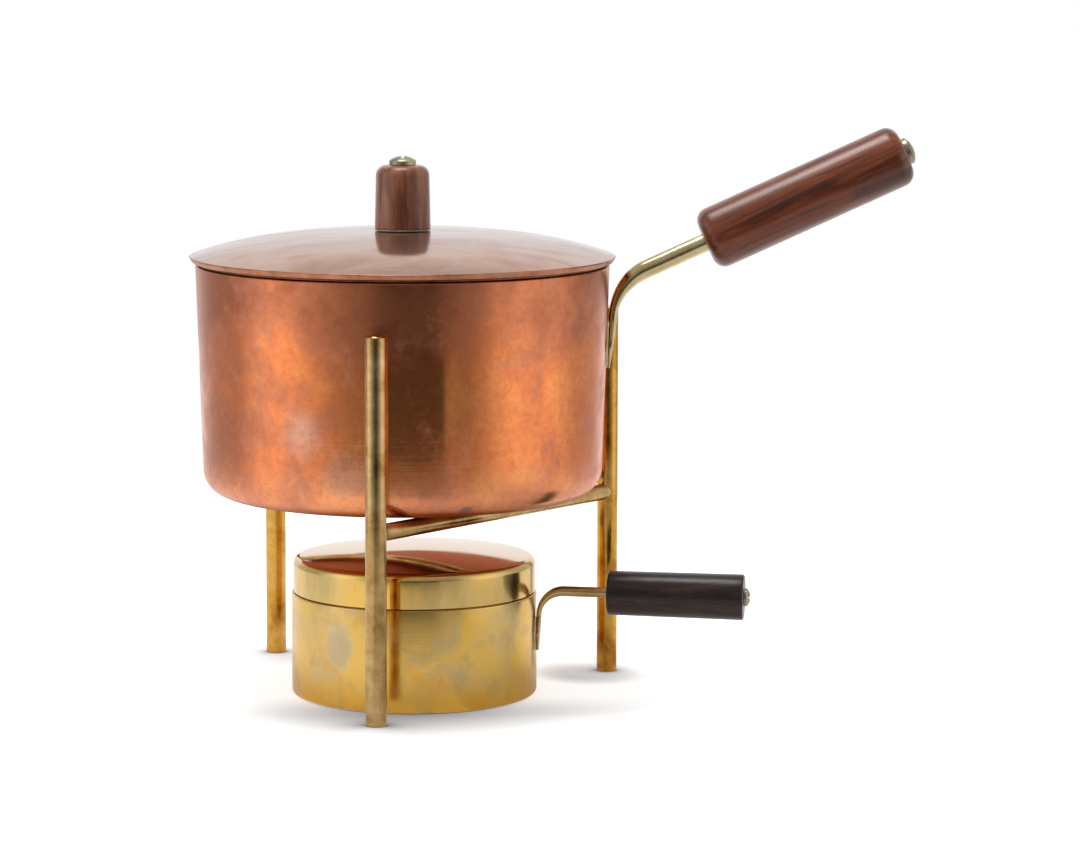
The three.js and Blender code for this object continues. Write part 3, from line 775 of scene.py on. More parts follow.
def handle_line(handle, reach):
    """The centre line: up the tongue, round the bend by an arc, and out along the straight part."""
    tip, corner = handle["tip"], handle["corner"]
    up = (corner - tip) / np.linalg.norm(corner - tip)
    rise = np.radians(handle["rise"])
    start_turn = np.arctan2(up[1], up[0])
    sweep = start_turn - rise
    bend = handle["bend_radius"]
    bend_start = corner - up * bend * np.tan(sweep / 2)
    centre = bend_start + bend * np.array([up[1], -up[0]])
    share = np.linspace(0, 1, line_steps)
    tongue = tip + (bend_start - tip) * share[:, None]
    turn = start_turn - sweep * share[1:]
    arc = centre + bend * np.stack([-np.sin(turn), np.cos(turn)], axis=1)
    out = np.array([np.cos(rise), np.sin(rise)])
    far = np.linspace(bend * np.tan(sweep / 2), reach, straight_steps)[1:, None]
    line = np.concatenate([tongue, arc, corner + out * far])
    headings = np.concatenate([np.full(len(tongue), start_turn), turn, np.full(len(far), rise)])
    tongue_share = np.concatenate([share, np.ones(len(arc) + len(far))])
    bend_share = np.concatenate([np.zeros(len(tongue)), share[1:], np.ones(len(far))])
    return line, headings, tongue_share, bend_share


def make_rod(handle, name, node, material):
    """The rod as a row of squared-off ovals across the line, flat at the tongue, round past it.

    The half width opens from the tip by a quarter sine and closes to the rod's radius, and an
    oval's point at turn t is its half sizes times the sine and cosine, each to a power that grows
    to 1, where the oval is round.
    """
    line, headings, tongue, bend = handle_line(handle, handle["grip_start"] + bore_depth)
    radius = handle["rod"] / 2
    flat = (handle["tongue_tip"] + (handle["tongue_heel"] - handle["tongue_tip"]) * tongue) / 2
    thick = flat + (radius - flat) * smooth_step(bend)
    opening = np.sin(np.pi / 2 * np.minimum(tongue / tongue_middle_share, 1))
    opening = tongue_tip_share + (1 - tongue_tip_share) * opening
    closing = smooth_step((tongue - tongue_middle_share) / (1 - tongue_middle_share))
    half = handle["tongue_width"] / 2
    wide = half * opening + (radius - half) * closing
    power = tongue_square + (1 - tongue_square) * smooth_step((bend + tongue) / 2)[:, None]
    turn = np.linspace(0, 2 * np.pi, oval_sides, endpoint=False)[None, :]
    across = thick[:, None] * np.sign(np.cos(turn)) * np.abs(np.cos(turn)) ** power
    sideways = wide[:, None] * np.sign(np.sin(turn)) * np.abs(np.sin(turn)) ** power
    out = line[:, :1] - np.sin(headings)[:, None] * across
    up = line[:, 1:] + np.cos(headings)[:, None] * across
    grid = handle["place"](out.ravel(), up.ravel()).reshape(*out.shape, 3)
    grid = grid + sideways[..., None] * handle["plane"][1]
    rod = skin(name, close_ends(grid))
    dress(rod, node, "handle_brass", handle["body"], material)
    return tongue, wide, line


def make_grip(handle, name, node, material, slot):
    """The grip's closed section: a bore for the rod, two rounded ends and a slight taper."""
    bore = handle["rod"] / 2 + bore_gap
    hole = handle["shank"] + bore_gap
    length, edge = handle["grip_length"], handle["grip_round"]
    near, far = np.array([handle["grip_near"], 0]), np.array([handle["grip_far"], length])
    side = near + (far - near) * np.linspace(0, 1, grip_rows)[:, None]
    start = [(bore, 0)]
    inside = [(hole, length), (hole, bore_depth), (bore, bore_depth)]
    radii = [edge] + [0] * (grip_rows - 2) + [edge, bore_edge, 0, 0]
    section = rounded(np.concatenate([start, side, inside, start]), radii, steps=8)[:-1]
    grid = handle["on_straight"](turned_grid(section, grip_sides), handle["grip_start"])
    dress(skin(name, grid, loop=True), node, slot, handle["body"], material)


def screw_grid(handle, slot_turn):
    """A slotted domed head about Z as rows of points across its slot.

    Row i lies at x across the slot and runs over the chord of the circle there, y from the square
    root of head squared less x squared on one side to the other. Its height is the dome's, less
    the slot's depth between the slot's walls, and the row returns along the flat underside.
    """
    head, edge, dome = handle["head"], handle["head_edge"], handle["head_dome"]
    half = slot_width / 2
    outer = np.sin(np.linspace(np.arcsin(half / head), np.pi / 2, screw_rows)) * head
    x = np.concatenate([-outer[::-1], np.linspace(-half, half, slot_rows), outer])
    row = np.arange(len(x))
    in_slot = (row >= screw_rows) & (row < screw_rows + slot_rows)
    chord = np.sqrt(np.maximum(head**2 - x**2, 0))
    y = chord[:, None] * np.sin(np.linspace(-1, 1, screw_columns) * np.pi / 2)[None, :]
    ball = (head**2 + dome**2) / (2 * dome)
    top = edge + dome - ball + np.sqrt(ball**2 - x[:, None] ** 2 - y**2)
    floor = edge + dome * (1 - slot_depth_share)
    top = np.where(in_slot[:, None], np.minimum(top, floor), top)
    upper = np.stack([np.broadcast_to(x[:, None], y.shape), y, top], axis=-1)
    lower = upper[:, ::-1].copy()
    lower[..., 2] = 0
    turn = np.radians(slot_turn)
    spin = np.array([[np.cos(turn), np.sin(turn), 0], [-np.sin(turn), np.cos(turn), 0], [0, 0, 1]])
    return close_ends(np.concatenate([upper, lower], axis=1)) @ spin


def make_handle_screw(handle, name, node):
    """The screw's head, standing on the grip's far end."""
    seat = handle["grip_start"] + handle["grip_length"] + seat_gap
    grid = handle["on_straight"](screw_grid(handle, handle["slot_turn"]), seat)
    dress(skin(name, grid, sharp=0.5), node, "screw_brass", handle["body"], screw_brass)


def make_tongue_braze(handle, name, tongue, wide, line):
    """The bead of braze round the tongue: a thin tube along its outline, half sunk in the wall."""
    kept = (tongue > bead_span[0]) & (tongue < bead_span[1])
    heights = line[kept, 1]
    outline_up = np.concatenate([heights, heights[::-1]])
    outline_side = np.concatenate([wide[kept], -wide[kept][::-1]])
    wall = handle["wall_low"] + handle["wall_lean"] * (outline_up - handle["tip_height"])
    reach = np.sqrt(wall**2 - outline_side**2)
    points = handle["place"](reach, outline_up) + outline_side[:, None] * handle["plane"][1]
    way = np.roll(points, -1, axis=0) - np.roll(points, 1, axis=0)
    way /= np.linalg.norm(way, axis=1, keepdims=True)
    side = np.cross(way, handle["plane"][0])
    side /= np.linalg.norm(side, axis=1, keepdims=True)
    out = np.cross(side, way)
    turn = np.linspace(0, 2 * np.pi, bead_sides, endpoint=False)[None, :, None]
    bead = handle["tongue_tip"] * bead_share
    grid = points[:, None] + bead * (np.cos(turn) * side[:, None] + np.sin(turn) * out[:, None])
    piece = skin(name, grid, loop=True)
    piece.data.materials.append(braze)
    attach(piece, handle["body"])


def wood(name, shades, turn, sheen, wax=1.0):
    """Oiled rosewood: dark bands and fine pores drawn out along the grain, which runs along Z
    once the place is turned, with a soft wax shine."""
    material, tree, shader, place = new_finish(name)
    dark, middle, light = shades
    grain = stretched(tree, place, (1, 1, 0.09), turn)
    bands = cloud(tree, grain, 190, detail=6, roughness=0.62, distortion=1.2)
    fine = cloud(tree, grain, 1300, detail=4, roughness=0.7)
    colour = tones(tree, bands, [(0.34, dark), (0.5, middle), (0.66, light)])
    streaks = cloud(tree, grain, 80, detail=4, distortion=0.8)
    colour = stained(tree, colour, dark, streaks, (0.53, 0.62), 0.75)
    pores = remap(tree, fine, 0.58, 0.7, 0.0, 0.65)
    pore = tuple(0.45 * value for value in dark[:3]) + (1,)
    tree.links.new(over(tree, pores, colour, pore), shader.inputs["Base Color"])
    roughen(tree, shader, fine, (0.35, 0.7), (sheen, sheen + 0.2))
    shader.inputs["Coat Weight"].default_value = wax
    shader.inputs["Coat Roughness"].default_value = 0.3
    shader.inputs["Specular IOR Level"].default_value = 0.1
    relief(tree, shader, calculate(tree, "MULTIPLY", pores, -1.0), 0.00012, 0.7)
    return material


along_grip = (0, np.radians(pot_handle["rise"] - 90), 0)
handle_brass = rod_brass("handle_brass", handle_tones, (0.12, 0.26), along_grip)
screw_brass = rod_brass("screw_brass", screw_tones, (0.26, 0.44))
grip_wood = wood("grip_rosewood", rosewood_tones, along_grip, 0.3)
plan_handle(pot_handle)
pot_tongue = make_rod(pot_handle, "pot_handle_bent_rod", "pot_handle_rod", handle_brass)
make_tongue_braze(pot_handle, "pot_tongue_braze", *pot_tongue)
make_grip(pot_handle, "pot_handle_turned_grip", "pot_handle_grip", grip_wood, "rosewood")
make_handle_screw(pot_handle, "pot_handle_slotted_screw", "pot_handle_screw")


# The lid: a copper disc raised to a low dome, its edge turned down to a thick hem, its underside
# tinned; the hem is painted in darker browns as shade. A flanged copper ring below it drops into
# the pot's mouth, its very dark browns painted shade in the gap under the lid.
lid_low, lid_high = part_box("lid_disc")
ring_low, ring_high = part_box("lid_locating_ring")
lid_radius = lid_high.x
lid_dome = 0.0096
lid_sheet = 0.0012
lid_undercut = 0.0011
lid_lip = 0.0004
lid_crease = 0.0001
hem_round, edge_round = 0.0005, 0.00035
lid_hole = 0.0022
lid_rows = 48
ring_sheet = 0.001
ring_flange = 0.001
ring_round, ring_fold = 0.0003, 0.0004
ring_skirt_radius = 0.07777
hem_radius = ring_skirt_radius - 0.002
tinned_radius = 0.0765
edge_band = 0.0015


def lid_copper():
    """Copper rubbed to a greyer pink than the wall's, a little hazy, smeared and stained."""
    material, tree, shader, place = new_finish("lid_copper")
    rubbing = stretched(tree, place, (1, 2.2, 1))
    smears = cloud(tree, rubbing, 30, detail=6, roughness=0.6, distortion=0.7)
    pale, rosy, brown = (0.66, 0.47, 0.37, 1), (0.61, 0.38, 0.28, 1), (0.52, 0.28, 0.19, 1)
    colour = tones(tree, smears, [(0.34, brown), (0.5, rosy), (0.66, pale)])
    stains = cloud(tree, place, 150, detail=6, roughness=0.7)
    colour = stained(tree, colour, (0.42, 0.22, 0.15, 1), stains, (0.6, 0.74), 0.35)
    tree.links.new(colour, shader.inputs["Base Color"])
    roughen(tree, shader, smears, (0.3, 0.7), (0.17, 0.09))
    relief(tree, shader, cloud(tree, place, 30, detail=3), 0.00006, 0.5)
    shader.inputs["Metallic"].default_value = 0.85
    shader.inputs["Specular Tint"].default_value = (0.84, 0.86, 0.9, 1)
    return material


def shade_copper_finish(name, scale, dark, light, roughness):
    """Copper in two browns that are painted shade, drifting into each other, its shine drifting
    with them.
    """
    material, tree, shader, place = new_finish(name)
    drift = cloud(tree, place, scale, detail=6, roughness=0.65)
    colour = tones(tree, drift, [(0.36, dark), (0.66, light)])
    tree.links.new(colour, shader.inputs["Base Color"])
    roughen(tree, shader, drift, (0.3, 0.7), roughness)
    shader.inputs["Metallic"].default_value = 1
    return material


def make_lid():
    """The dome falls from its top by its height times the cube of the radius over the lid's."""
    top, edge = lid_high.z, lid_high.z - lid_dome
    radii = np.linspace(lid_radius - lid_lip, lid_hole, lid_rows)
    inner = np.linspace(lid_hole, hem_radius, lid_rows)
    upper = np.stack([radii, top - lid_dome * (radii / lid_radius) ** 3], axis=1)
    lower = np.stack([inner, top - lid_sheet - lid_dome * (inner / lid_radius) ** 3], axis=1)
    hem = rounded(
        [
            (hem_radius, lid_low.z),
            (lid_radius - lid_undercut, lid_low.z),
            (lid_radius, edge - lid_crease),
            (lid_radius - lid_lip, edge + lid_crease),
        ],
        [hem_round, edge_round],
        steps=5,
    )
    lid = skin("lid_dome", turned_grid(np.concatenate([upper, lower, hem]), pot_sides), loop=True)
    dress(lid, "lid_disc", "copper", "lid", lid_copper(), tin_lining, edge_shade_copper)

    def is_underside(centre, normal):
        """Faces that look down, inside the hem."""
        return (normal[:, 2] < -0.2) & (np.hypot(centre[:, 0], centre[:, 1]) < tinned_radius)

    def is_edge(centre, normal):
        """Faces of the outermost band, below the dome."""
        outside = np.hypot(centre[:, 0], centre[:, 1]) > lid_radius - edge_band
        return outside & (centre[:, 2] < edge + 2 * lid_crease)

    finish_faces(lid, 1, is_underside)
    # Painted shade: the turned-down edge takes darker browns and a duller shine.
    finish_faces(lid, 2, is_edge)


def make_lid_ring():
    """The ring's angle section, a flat flange under the lid and a skirt down into the pot."""
    outer = ring_skirt_radius
    section = rounded(
        [
            (outer - ring_sheet, ring_low.z),
            (outer, ring_low.z),
            (outer, ring_high.z - ring_flange),
            (ring_high.x, ring_high.z - ring_flange),
            (ring_high.x, ring_high.z),
            (outer - ring_sheet, ring_high.z),
            (outer - ring_sheet, ring_low.z),
        ],
        [ring_round, ring_fold, ring_round, ring_round, ring_round],
        steps=3,
    )[:-1]
    ring = skin("lid_seating_ring", turned_grid(section, pot_sides), loop=True)
    dress(ring, "lid_locating_ring", "copper", "lid", ring_shade_copper)


# Painted shade on the lid's turned-down edge.
edge_shade_copper = shade_copper_finish(
    "edge_shade_copper", 90, (0.36, 0.14, 0.075, 1), (0.62, 0.28, 0.165, 1), (0.28, 0.42)
)
# Painted shade: very dark browns for the ring, which sits in the gap under the lid.
ring_shade_copper = shade_copper_finish(
    "ring_shade_copper", 120, (0.16, 0.055, 0.028, 1), (0.34, 0.125, 0.065, 1), (0.3, 0.5)
)
make_lid()
make_lid_ring()


# The knob: a turned cylinder of the same rosewood, a little lighter, on a thin brass washer. One
# long slotted screw goes down through it and the lid, into a six-sided nut.
knob_low, knob_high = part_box("lid_knob")
knob_foot_radius = knob_high.x
knob_top_radius = 0.01025
knob_round = 0.0039
knob_foot_edge, hole_edge = 0.0005, 0.0003
washer_round, washer_edge = 0.0003, 0.0001
knob_sides = 128
knob_tones = ((0.13, 0.035, 0.014, 1), (0.34, 0.115, 0.048, 1), (0.46, 0.19, 0.095, 1))
nut_sides = 6


def make_knob():
    """The knob's section, bored through: a tapering side between a crisp foot and a soft top."""
    section = rounded(
        [
            (lid_hole, knob_low.z),
            (knob_foot_radius, knob_low.z),
            (knob_top_radius, knob_high.z),
            (lid_hole, knob_high.z),
            (lid_hole, knob_low.z),
        ],
        [knob_foot_edge, knob_round, hole_edge],
        steps=10,
    )[:-1]
    knob = skin("lid_turned_knob", turned_grid(section, knob_sides), loop=True)
    timber = wood("knob_rosewood", knob_tones, (0, 0, 0), 0.34)
    dress(knob, "lid_knob", "rosewood", "lid", timber)


def collar(node):
    """The corners of a ring round the screw, from the foot of its hole to the top of its hole."""
    low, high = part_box(node)
    return [(lid_hole, low.z), (high.x, low.z), (high.x, high.z), (lid_hole, high.z)]


def make_knob_hardware():
    """The washer, the screw's head and the nut, whose six sides are the ring's columns."""
    corners = collar("lid_knob_washer")
    radii = [washer_round, washer_round, washer_edge]
    section = rounded(corners + corners[:1], radii, steps=4)[:-1]
    washer = skin("lid_brass_washer", turned_grid(section, knob_sides), loop=True)
    dress(washer, "lid_knob_washer", "screw_brass", "lid", screw_brass)
    head_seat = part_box("lid_knob_screw")[1].z - pot_handle["head_edge"] - pot_handle["head_dome"]
    grid = screw_grid(pot_handle, 0) + np.array([0, 0, head_seat])
    screw = skin("lid_slotted_screw", grid, sharp=0.5)
    dress(screw, "lid_knob_screw", "screw_brass", "lid", screw_brass)
    nut = skin("lid_hex_nut", turned_grid(collar("lid_knob_nut"), nut_sides), loop=True)
    dress(nut, "lid_knob_nut", "screw_brass", "lid", screw_brass)


make_knob()
make_knob_hardware()


# The burner's can: drawn brass sheet with a flat base and a small round foot. Heat and spirit have
# left tan and grey clouds in its gold, and one pale oval patch at its front left.
can_low, can_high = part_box("burner_can")
can_centre = np.array([(can_low.x + can_high.x) / 2, (can_low.y + can_high.y) / 2, 0])
can_radius = (can_high.x - can_low.x) / 2
can_sheet = 0.0008
can_foot_round = 0.0018
can_shoulder = 0.0014
can_edge, can_lip_edge = 0.0005, 0.0002
can_sides = 224
foot_gold = (0.016, 0.002)
oval_patch = {
    "bearing": -127,
    "radius": can_radius,
    "height": 0.0245,
    "size": (0.0078, 0.0078, 0.0105),
    "softness": 0.45,
    "most": 0.75,
    "colour": (0.62, 0.51, 0.30, 1),
}


def spirit_brass():
    """Old brass sheet: gold, with tan clouds, a deeper gold near the foot, and stains."""
    material, tree, shader, place = new_finish("spirit_brass")
    own = put(tree, "Mapping", {"Vector": place, "Location": tuple(-can_centre)}).outputs[0]
    clouds = cloud(tree, own, 48, detail=5, roughness=0.56, distortion=0.7)
    gold, tan, grey = (0.83, 0.50, 0.09, 1), (0.77, 0.505, 0.15, 1), (0.66, 0.49, 0.23, 1)
    deep, olive, orange = (0.80, 0.44, 0.06, 1), (0.52, 0.36, 0.15, 1), (0.84, 0.42, 0.06, 1)
    colour = tones(tree, clouds, [(0.36, gold), (0.52, tan), (0.68, grey)])
    height = put(tree, "SeparateXYZ", {0: own}).outputs["Z"]
    colour = stained(tree, colour, deep, height, foot_gold, 0.8)
    dull = cloud(tree, own, 85, detail=5, roughness=0.55)
    colour = stained(tree, colour, olive, dull, (0.5, 0.68), 0.5)
    glow = cloud(tree, own, 62, detail=4, distortion=0.5)
    colour = stained(tree, colour, orange, glow, (0.52, 0.68), 0.55)
    patch = soft_patch(tree, own, oval_patch)
    share = calculate(tree, "MULTIPLY", patch, oval_patch["most"])
    colour = over(tree, share, colour, oval_patch["colour"])
    specks = cloud(tree, own, 800, detail=3)
    colour = stained(tree, colour, (0.20, 0.12, 0.05, 1), specks, (0.66, 0.74), 0.5)
    tree.links.new(colour, shader.inputs["Base Color"])
    rough = remap(tree, clouds, 0.3, 0.7, 0.13, 0.32)
    rough = calculate(tree, "MAXIMUM", rough, calculate(tree, "MULTIPLY", patch, 0.45))
    tree.links.new(rough, shader.inputs["Roughness"])
    drawn = cloud(tree, stretched(tree, own, (12, 12, 700)), 1, detail=4)
    relief(tree, shader, drawn, 0.00003, 0.5)
    shader.inputs["Metallic"].default_value = 1
    return material


def make_can():
    """The can's section: base, foot, wall and shoulder outside, and the same a sheet further in."""
    opening = can_radius - can_shoulder
    inner = can_radius - can_sheet
    top = can_high.z
    section = rounded(
        [
            (0, 0),
            (can_radius, 0),
            (can_radius, top),
            (opening, top),
            (opening, top - can_sheet),
            (inner, top - can_sheet),
            (inner, can_sheet),
            (0, can_sheet),
        ],
        [can_foot_round, can_edge, can_lip_edge, can_lip_edge, 0, can_foot_round - can_sheet],
        steps=6,
    )
    can = skin("burner_drawn_can", turned_grid(section, can_sides) + can_centre)
    dress(can, "burner_can", "burner_brass", "burner", burner_brass)


burner_brass = spirit_brass()
make_can()


# What the can holds: absorbent mineral wool that soaks up the spirit, a woven wire gauze that
# keeps it down, a loose brass ring on the gauze, and the neck that the snuffer cap sits round.
neck_low, neck_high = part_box("burner_neck_ring")
wool_low, wool_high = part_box("burner_wadding")
gauze_low, gauze_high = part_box("burner_gauze")
neck_radius = (neck_high.x - neck_low.x) / 2
neck_sheet = 0.0007
neck_edge = 0.0002
hoop_width = 0.0024
hoop_edge = 0.0005
wool_rings, wool_sides = 30, 160
wool_rounds = [0.0018, 0.001, 0.001]
wool_inset = 0.0006
wool_swell = 0.0003
swell_across, swell_along = (700, 420), (610, 380)
swell_sway = 2
gauze_pitch = 0.0022
gauze_wire = 0.00026
gauze_inset = 0.0004
wire_sides = 5


def make_ring(name, node, width, edge):
    """A turned ring as high and as wide as its node, the corners of its section rounded."""
    low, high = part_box(node)
    outer = (high.x - low.x) / 2
    corners = [(outer - width, low.z), (outer, low.z), (outer, high.z), (outer - width, high.z)]
    start = [(outer - width, (low.z + high.z) / 2)]
    section = rounded(start + corners + start, [edge] * 4, steps=4)[:-1]
    ring = skin(name, turned_grid(section, can_sides) + can_centre, loop=True)
    dress(ring, node, "burner_brass", "burner", burner_brass)


def mineral_wool():
    """Off-white fibres, scorched brown in places."""
    material, tree, shader, place = new_finish("mineral_wool")
    fibre = stretched(tree, place, (2600, 700, 2600))
    fibres = cloud(tree, fibre, 1, detail=8, roughness=0.75, distortion=2.5)
    shaded, white, scorched = (0.42, 0.36, 0.27, 1), (0.80, 0.76, 0.66, 1), (0.16, 0.11, 0.07, 1)
    colour = tones(tree, fibres, [(0.35, shaded), (0.6, white)])
    colour = stained(tree, colour, scorched, cloud(tree, place, 60, detail=5), (0.5, 0.68), 0.7)
    tree.links.new(colour, shader.inputs["Base Color"])
    shader.inputs["Roughness"].default_value = 0.95
    shader.inputs["Sheen Weight"].default_value = 0.3
    relief(tree, shader, fibres, 0.0004)
    return material


def make_wool():
    """Packed fibre: a turned plug whose top swells and dips by two sines multiplied.

    Each sine runs across the top one way, and its place sways by a sine that runs the other way.
    """
    low_radius = (wool_high.x - wool_low.x) / 2
    high_radius = neck_radius - neck_sheet - seat_gap
    step = neck_low.z - seat_gap
    section = rounded(
        [
            (0, wool_low.z),
            (low_radius, wool_low.z),
            (low_radius, step),
            (high_radius, step),
            (high_radius, wool_high.z),
        ],
        wool_rounds,
        steps=4,
    )
    rings = np.linspace(1, 0, wool_rings) * (high_radius - wool_inset)
    top = np.stack([rings, np.full(wool_rings, wool_high.z)], axis=1)
    grid = turned_grid(np.concatenate([section[:-1], top]), wool_sides)
    x, y = grid[..., 0], grid[..., 1]
    across = np.sin(swell_across[0] * x + swell_sway * np.sin(swell_across[1] * y))
    along = np.sin(swell_along[0] * y + swell_sway * np.sin(swell_along[1] * x))
    on_top = np.isclose(grid[..., 2], wool_high.z, rtol=0, atol=1e-6)
    grid[..., 2] -= np.where(on_top, wool_swell * (1 + across * along), 0)
    wool = skin("burner_mineral_wool", grid + can_centre)
    dress(wool, "burner_wadding", "wadding", "burner", mineral_wool())


def wire_gauze():
    """Steel wire, heated to browns and greys."""
    material, tree, shader, place = new_finish("wire_gauze")
    heat = cloud(tree, place, 70, detail=6)
    darkened, grey, light = (0.16, 0.13, 0.11, 1), (0.36, 0.34, 0.32, 1), (0.50, 0.47, 0.44, 1)
    colour = tones(tree, heat, [(0.35, darkened), (0.5, grey), (0.7, light)])
    tree.links.new(colour, shader.inputs["Base Color"])
    shader.inputs["Roughness"].default_value = 0.42
    shader.inputs["Metallic"].default_value = 1
    return material


def make_gauze():
    """Plain-woven wire: wire n runs straight across the disc and rises and falls by a sine.

    Its height is the wire's size times the cosine of pi times the place along it over the pitch,
    turned over for every other wire, and the wires the other way take the opposite sign.
    """
    reach = (gauze_high.x - gauze_low.x) / 2 - gauze_inset
    count = int(reach / gauze_pitch)
    turn = np.linspace(0, 2 * np.pi, wire_sides, endpoint=False)
    ring_side, ring_up = gauze_wire / 2 * np.cos(turn), gauze_wire / 2 * np.sin(turn)
    tubes = []
    for number, offset in enumerate(np.arange(-count, count + 1) * gauze_pitch):
        chord = np.sqrt(reach**2 - offset**2)
        steps = max(int(2 * chord / gauze_pitch) * 2, 2)
        run = np.linspace(-chord, chord, steps + 1)
        sign = 1 if number % 2 else -1
        swing = sign * gauze_wire / 2 * np.cos(np.pi * run / gauze_pitch)[:, None]
        side = np.broadcast_to(offset + ring_side, (len(run), wire_sides))
        length = np.broadcast_to(run[:, None], (len(run), wire_sides))
        tubes.append(np.stack([length, side, swing + ring_up], axis=-1))
        tubes.append(np.stack([side, length, ring_up - swing], axis=-1))
    vertices, faces, start = [], [], 0
    column = np.arange(wire_sides)[None, :]
    following = (column + 1) % wire_sides
    for tube in tubes:
        near = start + np.arange(len(tube) - 1)[:, None] * wire_sides
        far = near + wire_sides
        quads = np.stack([near + column, near + following, far + following, far + column], axis=-1)
        faces += quads.reshape(-1, 4).tolist()
        end = start + len(tube) * wire_sides
        faces.append(list(range(start, start + wire_sides))[::-1])
        faces.append(list(range(end - wire_sides, end)))
        vertices.append(tube.reshape(-1, 3))
        start = end
    middle = can_centre + [0, 0, (gauze_low.z + gauze_high.z) / 2]
    mesh = bpy.data.meshes.new("burner_woven_gauze")
    mesh.from_pydata((np.concatenate(vertices) + middle).tolist(), [], faces)
    shape = bmesh.new()
    shape.from_mesh(mesh)
    bmesh.ops.recalc_face_normals(shape, faces=shape.faces)
    shape.to_mesh(mesh)
    shape.free()
    mesh.shade_smooth()
    gauze = bpy.data.objects.new("burner_woven_gauze", mesh)
    bpy.context.scene.collection.objects.link(gauze)
    dress(gauze, "burner_gauze", "gauze", "burner", wire_gauze())


make_ring("burner_neck", "burner_neck_ring", neck_sheet, neck_edge)
make_wool()
make_gauze()
make_ring("burner_gauze_hoop", "burner_gauze_ring", hoop_width, hoop_edge)


# The snuffer cap: drawn from one brass sheet, with a straight skirt, a round shoulder and a plate
# that is raised a little in its middle. It sits over the neck, on the can's shoulder.
cap_low, cap_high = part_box("burner_cap")
cap_radius = (cap_high.x - cap_low.x) / 2
cap_shoulder = 0.0031
cap_dome = 0.003
cap_sheet = 0.0007
cap_hem = 0.0002
plate_rows, shoulder_rows = 28, 12


def cap_brass():
    """The cap's brass: paler and more even than the can's, with tan bands and soft stains."""
    material, tree, shader, place = new_finish("cap_brass")
    own = put(tree, "Mapping", {"Vector": place, "Location": tuple(-can_centre)}).outputs[0]
    banded = stretched(tree, own, (1, 1, 0.35))
    clouds = cloud(tree, banded, 42, detail=6, roughness=0.6, distortion=0.5)
    gold, tan, olive = (0.84, 0.52, 0.12, 1), (0.76, 0.51, 0.18, 1), (0.56, 0.42, 0.17, 1)
    colour = tones(tree, clouds, [(0.36, gold), (0.52, tan), (0.68, olive)])
    height = put(tree, "SeparateXYZ", {0: own}).outputs["Z"]
    plate = remap(tree, height, cap_high.z - cap_dome - 0.0012, cap_high.z - cap_dome + 0.0002)
    colour = over(tree, calculate(tree, "MULTIPLY", plate, 0.85), colour, (0.80, 0.58, 0.42, 1))
    specks = cloud(tree, own, 700, detail=3)
    colour = stained(tree, colour, (0.22, 0.13, 0.06, 1), specks, (0.66, 0.74), 0.4)
    tree.links.new(colour, shader.inputs["Base Color"])
    rough = remap(tree, clouds, 0.3, 0.7, 0.08, 0.2)
    rough = calculate(tree, "MULTIPLY", rough, remap(tree, plate, 0.0, 1.0, 1.0, 0.55))
    tree.links.new(rough, shader.inputs["Roughness"])
    relief(tree, shader, cloud(tree, own, 45, detail=2), 0.00001, 0.5)
    shader.inputs["Metallic"].default_value = 1
    return material


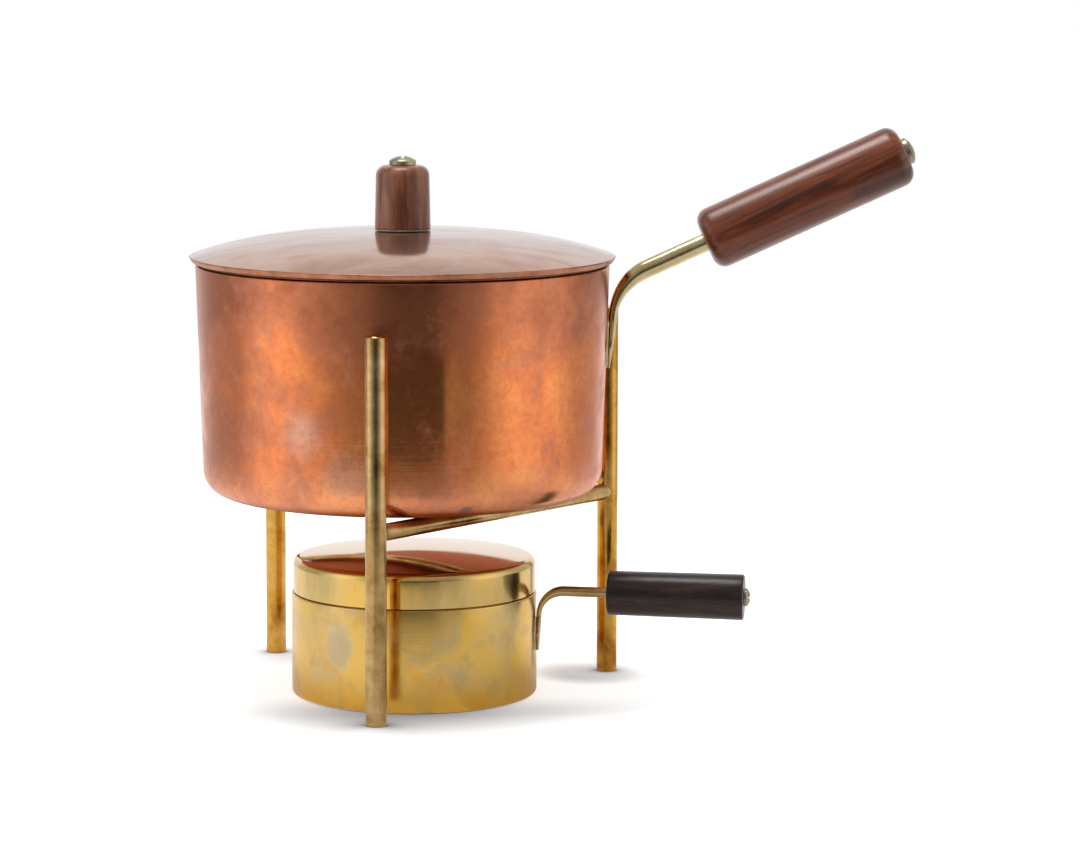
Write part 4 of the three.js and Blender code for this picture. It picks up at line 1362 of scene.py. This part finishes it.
def make_cap():
    """The cap's closed section: the skirt, a quarter round and a sphere's cap that touches it.

    The sphere's centre lies below the skirt's top by the round's centre radius squared less the
    dome's height squared, over twice that height. The inside is the same, one sheet further in.
    """
    skirt_top = cap_high.z - cap_shoulder - cap_dome
    round_centre = cap_radius - cap_shoulder
    drop = (round_centre**2 - cap_dome**2) / (2 * cap_dome)
    meeting = np.arctan2(drop, round_centre)

    def outline(inset):
        """The outline from the middle of the plate to the foot of the skirt."""
        turn = np.linspace(np.pi / 2, meeting, plate_rows)
        ball = drop + cap_shoulder + cap_dome - inset
        plate = np.stack([ball * np.cos(turn), skirt_top - drop + ball * np.sin(turn)], axis=1)
        turn = np.linspace(meeting, 0, shoulder_rows)[1:]
        bend = (cap_shoulder - inset) * np.stack([np.cos(turn), np.sin(turn)], axis=1)
        bend = bend + [round_centre, skirt_top]
        return np.concatenate([plate, bend, [[cap_radius - inset, cap_low.z + cap_hem]]])

    hem = [[cap_radius - cap_hem, cap_low.z], [cap_radius - cap_sheet + cap_hem, cap_low.z]]
    section = np.concatenate([outline(0), hem, outline(cap_sheet)[::-1]])
    section[[0, -1], 0] = 0
    cap = skin("burner_snuffer_cap", turned_grid(section, can_sides) + can_centre)
    dress(cap, "burner_cap", "burner_brass", "burner_cap", cap_brass())


make_cap()


# The burner's handle: a brass wire, flattened on the can and bent out to level, with a slim grip
# of nearly black wood. It is made as the pot's handle is, only smaller.
burner_handle = {
    "body": "burner",
    "heading": -9.0,
    "axis": tuple(can_centre[:2]),
    "wall_low": can_radius,
    "wall_lean": 0.0,
    "tip_height": 0.0173,
    "corner_height": 0.0405,
    "tongue_tip": 0.0009,
    "tongue_heel": 0.002,
    "tongue_width": 0.007,
    "bend_radius": 0.0095,
    "rise": -0.6,
    "rod": 0.004,
    "grip_start": 0.0263,
    "grip_length": 0.0524,
    "grip_near": 0.0085,
    "grip_far": 0.0088,
    "grip_round": 0.0008,
    "head": 0.0035,
    "head_edge": 0.0008,
    "head_dome": 0.0014,
    "shank": 0.001,
    "slot_turn": 70.0,
}
wire_tones = ((0.30, 0.17, 0.06, 1), (0.52, 0.33, 0.13, 1), (0.66, 0.46, 0.22, 1))
black_tones = ((0.007, 0.004, 0.003, 1), (0.024, 0.010, 0.008, 1), (0.075, 0.026, 0.018, 1))
along_wire = (0, np.radians(-90), np.radians(-burner_handle["heading"]))
black_wood = wood("burner_grip_wood", black_tones, along_wire, 0.34, wax=0.75)
wire_brass = rod_brass("wire_brass", wire_tones, (0.16, 0.3), along_wire)
plan_handle(burner_handle)
wire_tongue = make_rod(burner_handle, "burner_handle_bent_wire", "burner_handle_rod", wire_brass)
make_tongue_braze(burner_handle, "burner_tongue_braze", *wire_tongue)
make_grip(
    burner_handle, "burner_handle_turned_grip", "burner_handle_grip", black_wood, "dark_rosewood"
)
make_handle_screw(burner_handle, "burner_handle_slotted_screw", "burner_handle_screw")
